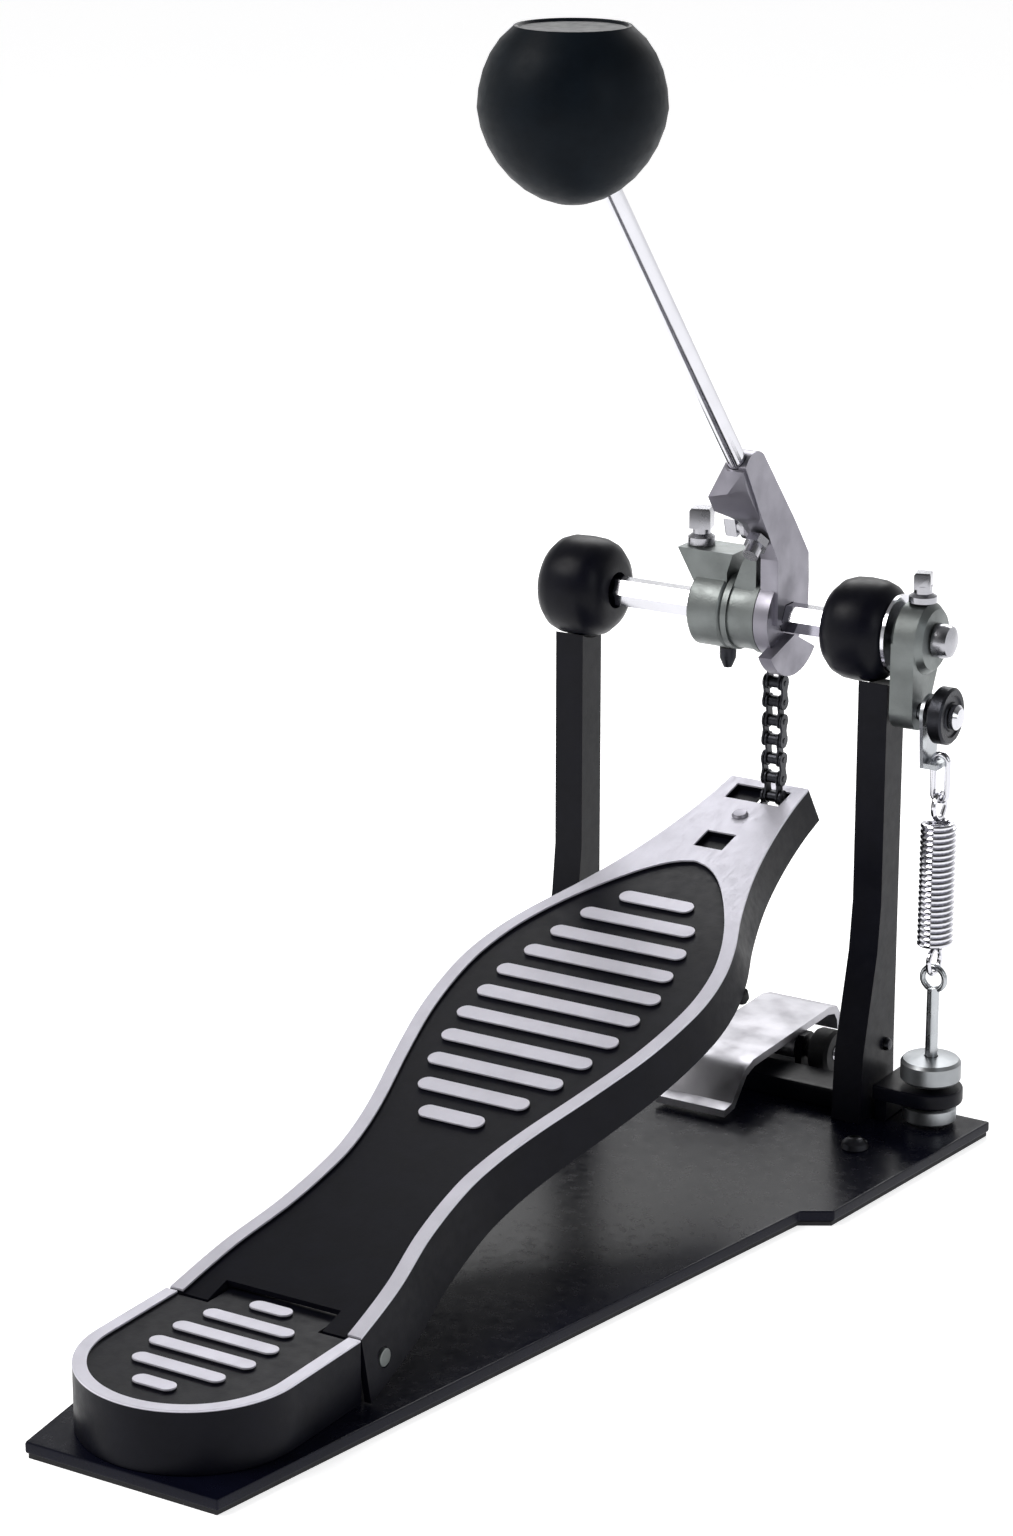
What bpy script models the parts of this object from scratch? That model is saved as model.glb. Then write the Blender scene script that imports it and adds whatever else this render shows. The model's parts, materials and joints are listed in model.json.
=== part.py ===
"""Single-chain bass drum pedal with floor plate, hoop clamp and extension spring.

+Y points at the drum, +X to the player's right, +Z up. Sizes below are in millimetres.
"""

import math

import bmesh
import bpy
from mathutils import Matrix, Vector

MM = 0.001

# Axle, hinge and tread
AXLE_Y = 297.5
AXLE_Z = 180.0
HINGE_Y = 10.8
HINGE_Z = 16.5
HEEL_TOP = 26.6
TREAD_TILT = math.radians(14.39)

# Floor plate
PAD_TOP = 1.5
PLATE_LOW = 1.7
PLATE_TOP = 5.5
STAND = 5.7

# Footboard: (distance from the heel joint, half width of the rim)
TREAD_WIDTH = [
    (-8, 35.6), (0, 35.4), (26, 33.0), (52, 28.2), (78, 26.4), (95, 28.0), (112, 31.6),
    (136, 38.2), (160, 44.0), (180, 46.8), (197, 47.4), (214, 45.2), (230, 40.5),
    (248, 33.2), (267, 26.8), (284, 22.4), (303, 18.8), (320, 16.6), (333, 15.7),
]
SKIRT_DEPTH = [(-8, 20.4), (0, 20.0), (60, 19.0), (120, 16.0), (200, 13.5), (333, 12.5)]
POCKET_WIDTH = [
    (-12, 30.6), (0, 30.6), (26, 28.2), (52, 23.4), (78, 21.6), (95, 23.2), (112, 26.8),
    (136, 33.4), (160, 39.2), (180, 42.0), (197, 42.6), (214, 40.4), (228, 36.2),
    (240, 31.0), (250, 25.6), (258, 20.6), (265, 15.6), (271, 10.0), (274.5, 5.0), (276, 0.6),
]
SKIRT_FLARE = 3.2
SKIRT_WALL = 2.4
DECK = 3.5
POCKET_DEPTH = 1.2
RECESS_DEPTH = 2.5
RIB_WIDTH = 6.4
TREAD_RIB_START = 110.3
TREAD_RIB_PITCH = 13.74
TREAD_RIB_HALVES = [12.2, 21.0, 25.7, 28.8, 31.1, 31.4, 31.8, 29.0, 26.5, 22.4, 14.5]

# Heel plate
HEEL_HALF = 36.1
HEEL_RIM = 4.4
HEEL_RIB_START = 4.1
HEEL_RIB_PITCH = -11.96
HEEL_RIB_HALVES = [7.5, 16.3, 19.0, 19.0, 16.5, 7.5]
KNUCKLE_HALF = 20.5
KNUCKLE_RADIUS = 8.9

# Chain
CHAIN_X = 6.0
CHAIN_PITCH = 7.15
CHAIN_LINKS = 12
CHAIN_PIN_Y = 16.5
CHAIN_PIN_Z = 6.0
LINK_RADIUS = 2.8

# Uprights
POST_WIDTH = 11.2
LEFT_POST_X = -64.5
RIGHT_POST_X = 57.5
FOOT_BOLT_X = 71.0
LEFT_HOUSING_X = -63.0
RIGHT_HOUSING_X = 49.2
HOUSING_RADIUS = 18.1
LEFT_HOUSING_HALF = 13.0
RIGHT_HOUSING_HALF = 12.3
BEARING_RADIUS = 10.85

# Axle parts
JOURNAL_RADIUS = 4.0
HEX_RADIUS = 5.5
HUB_RADIUS = 14.0

# Beater
ROD_X = 14.6
ROD_FRONT = 19.9
ROD_LEAN = math.radians(39.7)
ROD_RADIUS = 3.5
ROD_LOW = 38.0
HEAD_DISTANCE = 252.6
HEAD_RADIUS = 29.7
HEAD_FLAT = 25.0
HEAD_FULLNESS = 0.75
HEAD_TAPER = 0.1

# Clamp around the rod: (distance along it, outline across it as X and reach in front)
CLAMP_SECTIONS = [
    (39.5, [(18.6, 6.0), (18.6, -5.6), (13.0, -5.6), (9.8, -5.0), (9.8, 5.0)]),
    (52.0, [(18.6, 6.0), (18.6, -5.8), (13.0, -6.4), (9.4, -6.0), (9.2, 4.0)]),
    (57.0, [(18.6, 6.0), (18.6, -6.4), (12.6, -8.4), (8.0, -7.8), (8.0, 2.5)]),
    (65.0, [(18.6, 6.0), (18.6, -6.6), (12.2, -9.6), (5.6, -11.6), (6.2, 1.5)]),
    (72.5, [(18.6, 6.0), (18.6, -6.2), (12.2, -9.2), (5.6, -11.2), (6.2, 1.5)]),
    (79.5, [(18.6, 4.4), (18.6, -4.3), (12.6, -4.6), (10.6, -2.5), (10.4, 4.2)]),
]

# Return spring
SPRING_X = 82.6
PIN_Y = -6.0
PIN_Z = -24.5
COIL_RADIUS = 6.5
COIL_TOP = 118.2
COIL_LOW = 70.5
WIRE_RADIUS = 1.0
HOOK_RADIUS = 2.7

# Hoop clamp
JAW_LOW_X = -7.0
JAW_HIGH_X = 21.0
JAW_PIN_Y = 14.0
JAW_PIN_Z = 15.2

BLACK_CAST = ((0.012, 0.013, 0.022), 0.42, 0.25)
BLACK_POWDER = ((0.014, 0.015, 0.026), 0.55, 0.1)
BLACK_STEEL = ((0.015, 0.015, 0.018), 0.38, 0.6)
BLACK_RUBBER = ((0.01, 0.01, 0.012), 0.75, 0.0)
BLACK_HEAD = ((0.012, 0.014, 0.022), 0.5, 0.0)
SATIN_ALLOY = ((0.62, 0.61, 0.66), 0.36, 0.9)
GREY_CAST = ((0.42, 0.45, 0.46), 0.45, 0.85)
CHROME = ((0.82, 0.83, 0.85), 0.12, 1.0)
ZINC = ((0.7, 0.71, 0.74), 0.25, 1.0)


def clear_scene():
    for item in list(bpy.data.objects):
        bpy.data.objects.remove(item, do_unlink=True)


def paint(name, finish):
    material = bpy.data.materials.new(name)
    material.use_nodes = True
    shader = material.node_tree.nodes["Principled BSDF"]
    colour, roughness, metallic = finish
    shader.inputs["Base Color"].default_value = (*colour, 1.0)
    shader.inputs["Roughness"].default_value = roughness
    shader.inputs["Metallic"].default_value = metallic
    return material


def build(name, mesh_data, finish=None, origin=(0.0, 0.0, 0.0)):
    """Turns millimetre geometry into an object whose origin is at the given point."""
    bmesh.ops.remove_doubles(mesh_data, verts=mesh_data.verts, dist=0.0005)
    bmesh.ops.recalc_face_normals(mesh_data, faces=mesh_data.faces)
    start = Vector(origin)
    for vertex in mesh_data.verts:
        vertex.co = (vertex.co - start) * MM
    mesh = bpy.data.meshes.new(name)
    mesh_data.to_mesh(mesh)
    mesh_data.free()
    item = bpy.data.objects.new(name, mesh)
    item.location = start * MM
    bpy.context.scene.collection.objects.link(item)
    if finish:
        mesh.materials.append(paint(name, finish))
    return item


def helper(item, mesh_data, operation, label):
    """Adds an exact Boolean of the given kind with a hidden helper body."""
    tool = build(item.name + "_" + label, mesh_data)
    tool.hide_render = True
    tool.display_type = "WIRE"
    change = item.modifiers.new(label, "BOOLEAN")
    change.operation = operation
    change.solver = "EXACT"
    change.object = tool


def cut(item, mesh_data, label):
    helper(item, mesh_data, "DIFFERENCE", label)


def fuse(item, mesh_data, label):
    helper(item, mesh_data, "UNION", label)


def soften(item, width, segments=1, angle=40):
    bevel = item.modifiers.new("soft_edges", "BEVEL")
    bevel.width = width * MM
    bevel.segments = segments
    bevel.limit_method = "ANGLE"
    bevel.angle_limit = math.radians(angle)
    bevel.harden_normals = False
    bevel.use_clamp_overlap = True


def place(axis, first, second, along):
    """A point from two flat coordinates and one along the axis."""
    if axis == "X":
        return (along, first, second)
    if axis == "Y":
        return (first, along, second)
    return (first, second, along)


def prism(outline, axis, low, high, target=None):
    """Extrudes a closed outline along an axis."""
    mesh_data = target or bmesh.new()
    near = [mesh_data.verts.new(place(axis, a, b, low)) for a, b in outline]
    far = [mesh_data.verts.new(place(axis, a, b, high)) for a, b in outline]
    count = len(outline)
    mesh_data.faces.new(near)
    mesh_data.faces.new(far)
    for index in range(count):
        after = (index + 1) % count
        mesh_data.faces.new((near[index], near[after], far[after], far[index]))
    return mesh_data


def box(low, high, target=None):
    outline = [(low[0], low[1]), (high[0], low[1]), (high[0], high[1]), (low[0], high[1])]
    return prism(outline, "Z", low[2], high[2], target)


def circle(centre, radius, steps, start=0.0):
    points = []
    for index in range(steps):
        angle = start + 2 * math.pi * index / steps
        points.append((centre[0] + radius * math.cos(angle), centre[1] + radius * math.sin(angle)))
    return points


def arc(centre, radius, first, last, steps):
    points = []
    for index in range(steps + 1):
        angle = math.radians(first + (last - first) * index / steps)
        points.append((centre[0] + radius * math.cos(angle), centre[1] + radius * math.sin(angle)))
    return points


def drum(centre, radius, axis, low, high, steps=24, start=0.0, target=None):
    return prism(circle(centre, radius, steps, start), axis, low, high, target)


def lathe(profile, axis, centre, steps, target=None):
    """Turns (radius, along) points round an axis; a profile off the axis closes on itself."""
    mesh_data = target or bmesh.new()
    rings = []
    for radius, along in profile:
        if radius < 1e-6:
            rings.append([mesh_data.verts.new(place(axis, centre[0], centre[1], along))])
            continue
        flat = circle(centre, radius, steps)
        rings.append([mesh_data.verts.new(place(axis, a, b, along)) for a, b in flat])
    pairs = list(zip(rings, rings[1:]))
    if len(rings[0]) > 1 and len(rings[-1]) > 1:
        pairs.append((rings[-1], rings[0]))
    for one, two in pairs:
        join_rings(mesh_data, one, two, steps)
    return mesh_data


def join_rings(mesh_data, one, two, steps):
    for index in range(steps):
        after = (index + 1) % steps
        if len(one) == 1 and len(two) == 1:
            return
        if len(one) == 1:
            mesh_data.faces.new((one[0], two[index], two[after]))
        elif len(two) == 1:
            mesh_data.faces.new((one[index], one[after], two[0]))
        else:
            mesh_data.faces.new((one[index], one[after], two[after], two[index]))


def wire(path, radius, sides=8, closed=False, target=None):
    """A round wire along a path that stays in one plane."""
    mesh_data = target or bmesh.new()
    points = [Vector(point) for point in path]
    count = len(points)
    spans = [points[(i + 1) % count] - points[i] for i in range(count)]
    normal = spans[0].cross(spans[count // 2])
    if normal.length < 1e-6:
        normal = spans[0].orthogonal()
    normal.normalize()
    rings = []
    for index in range(count):
        before = points[index - 1] if closed or index else points[0]
        after = points[(index + 1) % count] if closed or index < count - 1 else points[-1]
        forward = (after - before).normalized()
        side = forward.cross(normal).normalized()
        ring = []
        for step in range(sides):
            angle = 2 * math.pi * step / sides
            offset = side * math.cos(angle) * radius + normal * math.sin(angle) * radius
            ring.append(mesh_data.verts.new(points[index] + offset))
        rings.append(ring)
    pairs = list(zip(rings, rings[1:]))
    if closed:
        pairs.append((rings[-1], rings[0]))
    else:
        mesh_data.faces.new(rings[0])
        mesh_data.faces.new(rings[-1])
    for one, two in pairs:
        join_rings(mesh_data, one, two, sides)
    return mesh_data


def bar(start, end, radius, steps=20, spin=0.0, target=None):
    """A straight round bar between two points."""
    mesh_data = target or bmesh.new()
    begin = Vector(start)
    along = Vector(end) - begin
    turn = along.to_track_quat("Z", "Y").to_matrix()
    rings = []
    for distance in (0.0, along.length):
        ring = []
        for step in range(steps):
            angle = 2 * math.pi * step / steps + spin
            flat = Vector((radius * math.cos(angle), radius * math.sin(angle), distance))
            ring.append(mesh_data.verts.new(begin + turn @ flat))
        rings.append(ring)
    mesh_data.faces.new(rings[0])
    mesh_data.faces.new(rings[1])
    join_rings(mesh_data, rings[0], rings[1], steps)
    return mesh_data


def around(centre, points):
    return [(centre[0] + a, centre[1] + b) for a, b in points]


def lookup(table, value):
    """Smooth value between the rows of a two-column table."""
    if value <= table[0][0]:
        return table[0][1]
    for index in range(len(table) - 1):
        low, high = table[index], table[index + 1]
        if value > high[0]:
            continue
        share = (value - low[0]) / (high[0] - low[0])
        before = table[max(index - 1, 0)]
        beyond = table[min(index + 2, len(table) - 1)]
        slope_low = (high[1] - before[1]) / (high[0] - before[0])
        slope_high = (beyond[1] - low[1]) / (beyond[0] - low[0])
        reach = high[0] - low[0]
        one = 2 * share**3 - 3 * share**2 + 1
        two = share**3 - 2 * share**2 + share
        three = -2 * share**3 + 3 * share**2
        four = share**3 - share**2
        return one * low[1] + two * reach * slope_low + three * high[1] + four * reach * slope_high
    return table[-1][1]


def slotted(half_length, half_width, steps=4):
    """Outline of a bar with round ends, along the first coordinate."""
    reach = half_length - half_width
    right = arc((reach, 0), half_width, -90, 90, steps)
    left = arc((-reach, 0), half_width, 90, 270, steps)
    return right + left


def on_tread(mesh_data):
    """Moves geometry from tread coordinates (across, along, normal) into the world."""
    turn = Matrix.Rotation(TREAD_TILT, 4, "X")
    shift = Matrix.Translation((0.0, 0.0, HEEL_TOP))
    bmesh.ops.transform(mesh_data, matrix=shift @ turn, verts=mesh_data.verts)
    return mesh_data


def axle(points):
    return around((AXLE_Y, AXLE_Z), points)


def rod_point(distance):
    """World point on the beater rod's centre line, that far from the axle's height."""
    back = ROD_FRONT - distance * math.sin(ROD_LEAN)
    up = distance * math.cos(ROD_LEAN)
    return (ROD_X, AXLE_Y + back, AXLE_Z + up)


def rod_section(distance, outline):
    """World points of an outline across the beater rod."""
    middle = Vector(rod_point(distance))
    front = Vector((0, math.cos(ROD_LEAN), math.sin(ROD_LEAN)))
    return [Vector((x, middle.y, middle.z)) + front * reach for x, reach in outline]


# ---------------------------------------------------------------- floor plate


def base_outline(inset):
    rear = -73.8 + inset
    right = [(35 - inset, rear), (80.7 - inset, 197.3), (90.5 - inset, 203.3)]
    right += [(100.9 - inset, 302.9 - inset)]
    left = [(-86 + inset, 302.9 - inset), (-79 + inset, 203.3), (-72 + inset, 197.3)]
    left += [(-35 + inset, rear)]
    return right, left


def make_base():
    right, left = base_outline(0)
    tongue = [(31, 302.9), (29, 339), (25, 343), (-11, 343), (-15, 339), (-17, 302.9)]
    plate = build("base_plate", prism(right + tongue + left, "Z", PLATE_LOW, PLATE_TOP), BLACK_POWDER)
    soften(plate, 0.7, 1)
    right, left = base_outline(0.8)
    build("base_pad", prism(right + left, "Z", 0.0, PAD_TOP), BLACK_RUBBER)


# ---------------------------------------------------------------- heel plate


def heel_outline(inset, front):
    half = HEEL_HALF - inset
    back = arc((0, -HEEL_HALF), half, 180, 360, 24)
    return [(half, front), (-half, front)] + back


def make_heel():
    heel = build("heel_plate", prism(heel_outline(0, -0.7), "Z", STAND, HEEL_TOP), BLACK_CAST)
    centre = (HINGE_Y, HINGE_Z)
    tongue = [(-12, 8.0)] + arc(centre, KNUCKLE_RADIUS, -80, 92, 14) + [(-12, 26.2)]
    fuse(heel, prism(tongue, "X", -KNUCKLE_HALF, KNUCKLE_HALF), "knuckle")
    inner = HEEL_HALF - HEEL_RIM
    pocket = [(inner, 24), (-inner, 24)] + arc((0, -HEEL_HALF), inner, 180, 360, 24)
    cut(heel, prism(pocket, "Z", HEEL_TOP - POCKET_DEPTH, 40), "pocket")
    ribs = bmesh.new()
    for index, half in enumerate(HEEL_RIB_HALVES):
        middle = HEEL_RIB_START + HEEL_RIB_PITCH * index
        outline = around((0, middle), slotted(half, RIB_WIDTH / 2 - 0.3))
        prism(outline, "Z", HEEL_TOP - POCKET_DEPTH - 1.0, HEEL_TOP - 0.05, ribs)
    fuse(heel, ribs, "ribs")
    cut(heel, drum(centre, 3.2, "X", -30, 30, 20), "bore")
    soften(heel, 0.45, 1, 50)
    pin = drum(centre, 3.0, "X", -37.4, 37.4, 20)
    soften(build("hinge_pin", pin, ZINC, (0, HINGE_Y, HINGE_Z)), 0.5, 1)


# ---------------------------------------------------------------- footboard


def tread_section(distance):
    half = lookup(TREAD_WIDTH, distance)
    depth = lookup(SKIRT_DEPTH, distance)
    foot = half + SKIRT_FLARE
    side = [(half, 0), (foot, -depth), (foot - SKIRT_WALL, -depth), (half - 1.6, -DECK)]
    other = [(-x, z) for x, z in reversed(side)]
    return [(x, distance, z) for x, z in side + other]


def tread_shell():
    mesh_data = bmesh.new()
    count = 38
    stations = [-8 + (333 + 8) * index / (count - 1) for index in range(count)]
    rings = []
    for distance in stations:
        rings.append([mesh_data.verts.new(point) for point in tread_section(distance)])
    for one, two in zip(rings, rings[1:]):
        join_rings(mesh_data, one, two, len(one))
    mesh_data.faces.new(rings[0])
    mesh_data.faces.new(rings[-1])
    return mesh_data


def pocket_outline():
    steps = 30
    side = []
    for index in range(steps + 1):
        share = index / steps
        distance = -12 + 288 * (1 - (1 - share) ** 1.35)
        side.append((lookup(POCKET_WIDTH, distance), distance))
    return side + [(-x, y) for x, y in reversed(side)]


def tread_ribs():
    mesh_data = bmesh.new()
    for index, half in enumerate(TREAD_RIB_HALVES):
        middle = TREAD_RIB_START + TREAD_RIB_PITCH * index
        outline = around((0, middle), slotted(half, RIB_WIDTH / 2))
        prism(outline, "Z", -POCKET_DEPTH - 1.0, -0.05, mesh_data)
    return mesh_data


def make_footboard():
    origin = (0, HINGE_Y, HINGE_Z)
    board = build("footboard", on_tread(tread_shell()), BLACK_CAST, origin)
    cut(board, on_tread(prism(pocket_outline(), "Z", -POCKET_DEPTH, 8)), "pocket")
    fuse(board, on_tread(tread_ribs()), "ribs")
    cut(board, on_tread(box((-0.8, 318.6, -9), (11, 328.8, 5))), "chain_slot")
    cut(board, on_tread(box((-11, 318.6, -RECESS_DEPTH), (1, 328.8, 5))), "slot_recess")
    cut(board, on_tread(box((-5.8, 285.2, -RECESS_DEPTH), (5.8, 296.2, 5))), "recess")
    cut(board, box((-60, -40, -5), (60, 0.5, 60)), "rear_face")
    cut(board, box((-21.3, -45, -8), (21.3, HINGE_Y, 70)), "notch")
    cut(board, drum((HINGE_Y, HINGE_Z), 9.9, "X", -21.3, 21.3, 28), "knuckle_relief")
    cut(board, drum((HINGE_Y, HINGE_Z), 3.2, "X", -50, 50, 20), "pin_hole")
    cut(board, on_tread(drum((0.7, 308.6), 1.8, "Z", -9, 5, 12)), "screw_hole")


def make_toe_parts():
    origin = (0, HINGE_Y, HINGE_Z)
    plate = on_tread(box((CHAIN_X - 6.2, 299, -6.4), (CHAIN_X + 6.2, 315, -3.8)))
    anchor = build("chain_anchor", plate, BLACK_STEEL, origin)
    cheeks = bmesh.new()
    outline = [(311, -3.8), (311, -8.5), (319, -10.6), (324.5, -10.6), (326.3, -8), (326.3, -3.8)]
    for side in (-6.2, 4.3):
        prism(outline, "X", CHAIN_X + side, CHAIN_X + side + 1.9, cheeks)
    fuse(anchor, on_tread(cheeks), "cheeks")
    pin_at = on_tread(drum((322.4, -6.75), 1.1, "X", CHAIN_X - 5.5, CHAIN_X + 5.5, 12))
    fuse(anchor, pin_at, "cross_pin")
    cut(anchor, on_tread(drum((0.7, 308.6), 1.8, "Z", -9, 0, 12)), "screw_hole")
    profile = [(0, 1.5), (2.4, 1.3), (3.0, 0.5), (3.0, 0.3), (1.5, 0.3), (1.5, -8.4), (0, -8.4)]
    screw = lathe(profile, "Z", (0.7, 308.6), 16)
    build("toe_screw", on_tread(screw), ZINC, origin)
    profile = [(0, -12.9), (2.4, -12.9), (2.6, -15.6), (1.6, -17.2), (0, -17.2)]
    stop = lathe(profile, "Z", (0, 0), 14)
    bmesh.ops.translate(stop, verts=stop.verts, vec=(44.1, 224.7, -0.75))
    build("skirt_stop", on_tread(stop), BLACK_RUBBER, origin)


# ---------------------------------------------------------------- chain


def link_outline(high, low, radius, waist):
    """Side plate of a chain link round two pin heights."""
    top = arc((0, high), radius, 20, 160, 4)
    bottom = arc((0, low), radius, 200, 340, 4)
    middle = (high + low) / 2
    return top + [(-waist, middle)] + bottom + [(waist, middle)]


def chain_link(index, origin):
    high = AXLE_Z + CHAIN_PIN_Z - CHAIN_PITCH * index
    low = high - CHAIN_PITCH
    y = AXLE_Y + CHAIN_PIN_Y
    last = index == CHAIN_LINKS - 1
    outline = link_outline(high, low, LINK_RADIUS, 2.3)
    if last:
        outline = arc((0, high), LINK_RADIUS, 20, 160, 5) + arc((0, low), 4.3, 170, 370, 9)
    outline = around((y, 0), outline)
    near, far = (3.1, 4.0) if index % 2 else (1.9, 2.8)
    name = "chain_link_%02d" % (index + 1)
    link = build(name, prism(outline, "X", CHAIN_X + near, CHAIN_X + far), BLACK_STEEL, origin)
    body = prism(outline, "X", CHAIN_X - far, CHAIN_X - near)
    rolls = bmesh.new()
    holes = bmesh.new()
    if index % 2:
        drum((y, high), 1.0, "X", CHAIN_X - far + 0.1, CHAIN_X + far - 0.1, 8, 0.2, rolls)
        if last:
            drum((y, low), 3.25, "X", CHAIN_X - 9, CHAIN_X + 9, 12, 0.0, holes)
        else:
            drum((y, low), 1.0, "X", CHAIN_X - far + 0.1, CHAIN_X + far - 0.1, 8, 0.2, rolls)
    else:
        for height in (high, low):
            drum((y, height), 2.0, "X", CHAIN_X - near - 0.3, CHAIN_X + near + 0.3, 8, 0.0, rolls)
            drum((y, height), 1.34, "X", CHAIN_X - 9, CHAIN_X + 9, 8, 0.2, holes)
    fuse(link, rolls, "rolls")
    fuse(link, body, "left_plate")
    if holes.verts:
        cut(link, holes, "holes")


def make_chain():
    origin = (CHAIN_X, AXLE_Y + CHAIN_PIN_Y, AXLE_Z + CHAIN_PIN_Z)
    for index in range(CHAIN_LINKS):
        chain_link(index, origin)
    pin = drum((origin[1], origin[2]), 1.05, "X", -1.2, 12.7, 12)
    build("chain_pin", pin, ZINC, (0, AXLE_Y, AXLE_Z))


# ---------------------------------------------------------------- uprights


def make_post(name, middle):
    half = POST_WIDTH / 2
    rear = [(-9.4, -10), (-9.4, -96), (-11.5, -114), (-20.5, -150), (-22.0, STAND - AXLE_Z)]
    front = [(4.6, STAND - AXLE_Z), (3.9, -150), (3.9, -10)]
    post = build(name, prism(axle(rear + front), "X", middle - half, middle + half), BLACK_CAST)
    return post


def housing_profile(middle, inward, half):
    """Barrel round a bearing seat that opens on the outer side."""
    outer = [(6.6, half), (10.2, half), (13.8, half - 1.6), (16.6, half - 4.6), (17.8, half - 8.0)]
    outer += [(HOUSING_RADIUS, 0), (17.8, 7.0 - half), (16.6, 3.6 - half), (14.2, 1.0 - half)]
    outer += [(12.6, -half), (11.2, -half), (11.2, 2.5), (6.6, 2.5)]
    return [(radius, middle + inward * along) for radius, along in outer]


def make_uprights():
    centre = (AXLE_Y, AXLE_Z)
    for side, post_x, housing_x, inward, half in (
        ("left", LEFT_POST_X, LEFT_HOUSING_X, 1, LEFT_HOUSING_HALF),
        ("right", RIGHT_POST_X, RIGHT_HOUSING_X, -1, RIGHT_HOUSING_HALF),
    ):
        post = make_post(side + "_post", post_x)
        cut(post, drum(centre, HOUSING_RADIUS + 0.35, "X", post_x - 20, post_x + 20, 36), "saddle")
        soften(post, 1.2, 2, 40)
        shell = lathe(housing_profile(housing_x, inward, half), "X", centre, 28)
        build(side + "_housing", shell, BLACK_CAST)
        low = housing_x - inward * 6.0
        high = low + inward * 7
        ring = [(4.2, low), (BEARING_RADIUS, low), (BEARING_RADIUS, high), (4.2, high)]
        build(side + "_bearing", lathe(ring, "X", centre, 24), ZINC)
        bolt = [(0, 9.3), (2.6, 9.0), (4.4, 7.6), (4.8, STAND), (0, STAND)]
        build(side + "_foot_bolt", lathe(bolt, "Z", (-inward * FOOT_BOLT_X, AXLE_Y - 41), 16), BLACK_STEEL)
    left = LEFT_POST_X + POST_WIDTH / 2 + 0.3
    right = RIGHT_POST_X - POST_WIDTH / 2 - 0.3
    low = (left, AXLE_Y - 14, STAND)
    crossbar = build("crossbar", box(low, (right, AXLE_Y + 3, 13.2)), BLACK_CAST)
    soften(crossbar, 1.2, 2)
    side_bolt = [(0, 65.4), (1.8, 65.1), (2.4, 64.1), (2.4, 63.4), (0, 63.4)]
    at = (AXLE_Y - 3, 30.0)
    build("post_side_bolt", lathe(side_bolt, "X", at, 14), BLACK_STEEL)


# ---------------------------------------------------------------- axle group


def make_axle():
    origin = (0, AXLE_Y, AXLE_Z)
    centre = (AXLE_Y, AXLE_Z)
    shaft = build("shaft", drum(centre, JOURNAL_RADIUS, "X", -71, 81.4, 24), CHROME, origin)
    fuse(shaft, prism(circle(centre, HEX_RADIUS, 6, 0.0), "X", -58.5, 47.5), "hex")
    ring = [(5.4, 61.9), (13.9, 61.9), (13.9, 63.1), (5.4, 63.1)]
    build("thrust_washer", lathe(ring, "X", centre, 28), CHROME, origin)
    profile = [(4.3, 77.2), (6.0, 77.2), (6.0, 80.4), (5.3, 82.3), (3.2, 83.3), (0, 83.6)]
    profile += [(0, 81.9), (4.3, 81.9)]
    nut = lathe(profile, "X", centre, 18)
    build("shaft_nut", nut, CHROME, origin)


def hex_bore(low, high):
    return prism(circle((AXLE_Y, AXLE_Z), HEX_RADIUS + 0.28, 6, 0.0), "X", low, high)


def cam_outline():
    """Drum that is smaller where the chain hangs in front of it."""
    front = arc((0, 0), 12.5, -78, 78, 10)
    rear = arc((0, 0), HUB_RADIUS - 0.8, 84, 276, 12)
    return axle(front + rear)


def make_drive_cam():
    origin = (0, AXLE_Y, AXLE_Z)
    cam = build("drive_cam", prism(cam_outline(), "X", -0.2, 11.9), GREY_CAST, origin)
    cheeks = bmesh.new()
    nose = arc((CHAIN_PIN_Y, CHAIN_PIN_Z), 3.7, -62, 102, 9)
    rear = arc((0, 0), HUB_RADIUS, 70, 318, 16)
    for low, high in ((-0.6, 1.6), (10.4, 12.3)):
        prism(axle(nose + rear), "X", low, high, cheeks)
    fuse(cam, cheeks, "cheeks")
    web = [(1.2, 9), (10.6, 9), (10.6, 26), (9.0, 25), (5.0, 19.5)]
    web = [(x, AXLE_Z + z) for x, z in web]
    fuse(cam, prism(web, "Y", AXLE_Y - 8.5, AXLE_Y + 1.5), "web")
    cut(cam, hex_bore(-5, 15), "bore")
    pin = (AXLE_Y + CHAIN_PIN_Y, AXLE_Z + CHAIN_PIN_Z)
    cut(cam, drum(pin, 1.25, "X", -5, 15, 12), "pin_hole")


def key_bolt(name, centre, axis, low, high, finish, origin, size=7.0):
    """Square-headed drum key bolt with a round collar, pointing along an axis."""
    reach = high - low
    profile = [(0, low), (4.9, low), (4.9, low + reach * 0.2), (3.2, low + reach * 0.3)]
    profile += [(3.2, low + reach * 0.55), (0, low + reach * 0.55)]
    bolt = build(name, lathe(profile, axis, centre, 18), finish, origin)
    turn = math.radians(62)
    square = bmesh.new()
    rings = []
    for share, along in ((0.707, 0.45), (0.707, 0.93), (0.6, 1.0)):
        flat = circle(centre, size * share, 4, turn)
        rings.append([square.verts.new(place(axis, a, b, low + reach * along)) for a, b in flat])
    join_rings(square, rings[0], rings[1], 4)
    join_rings(square, rings[1], rings[2], 4)
    square.faces.new(rings[0])
    square.faces.new(rings[2])
    fuse(bolt, square, "square")


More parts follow.
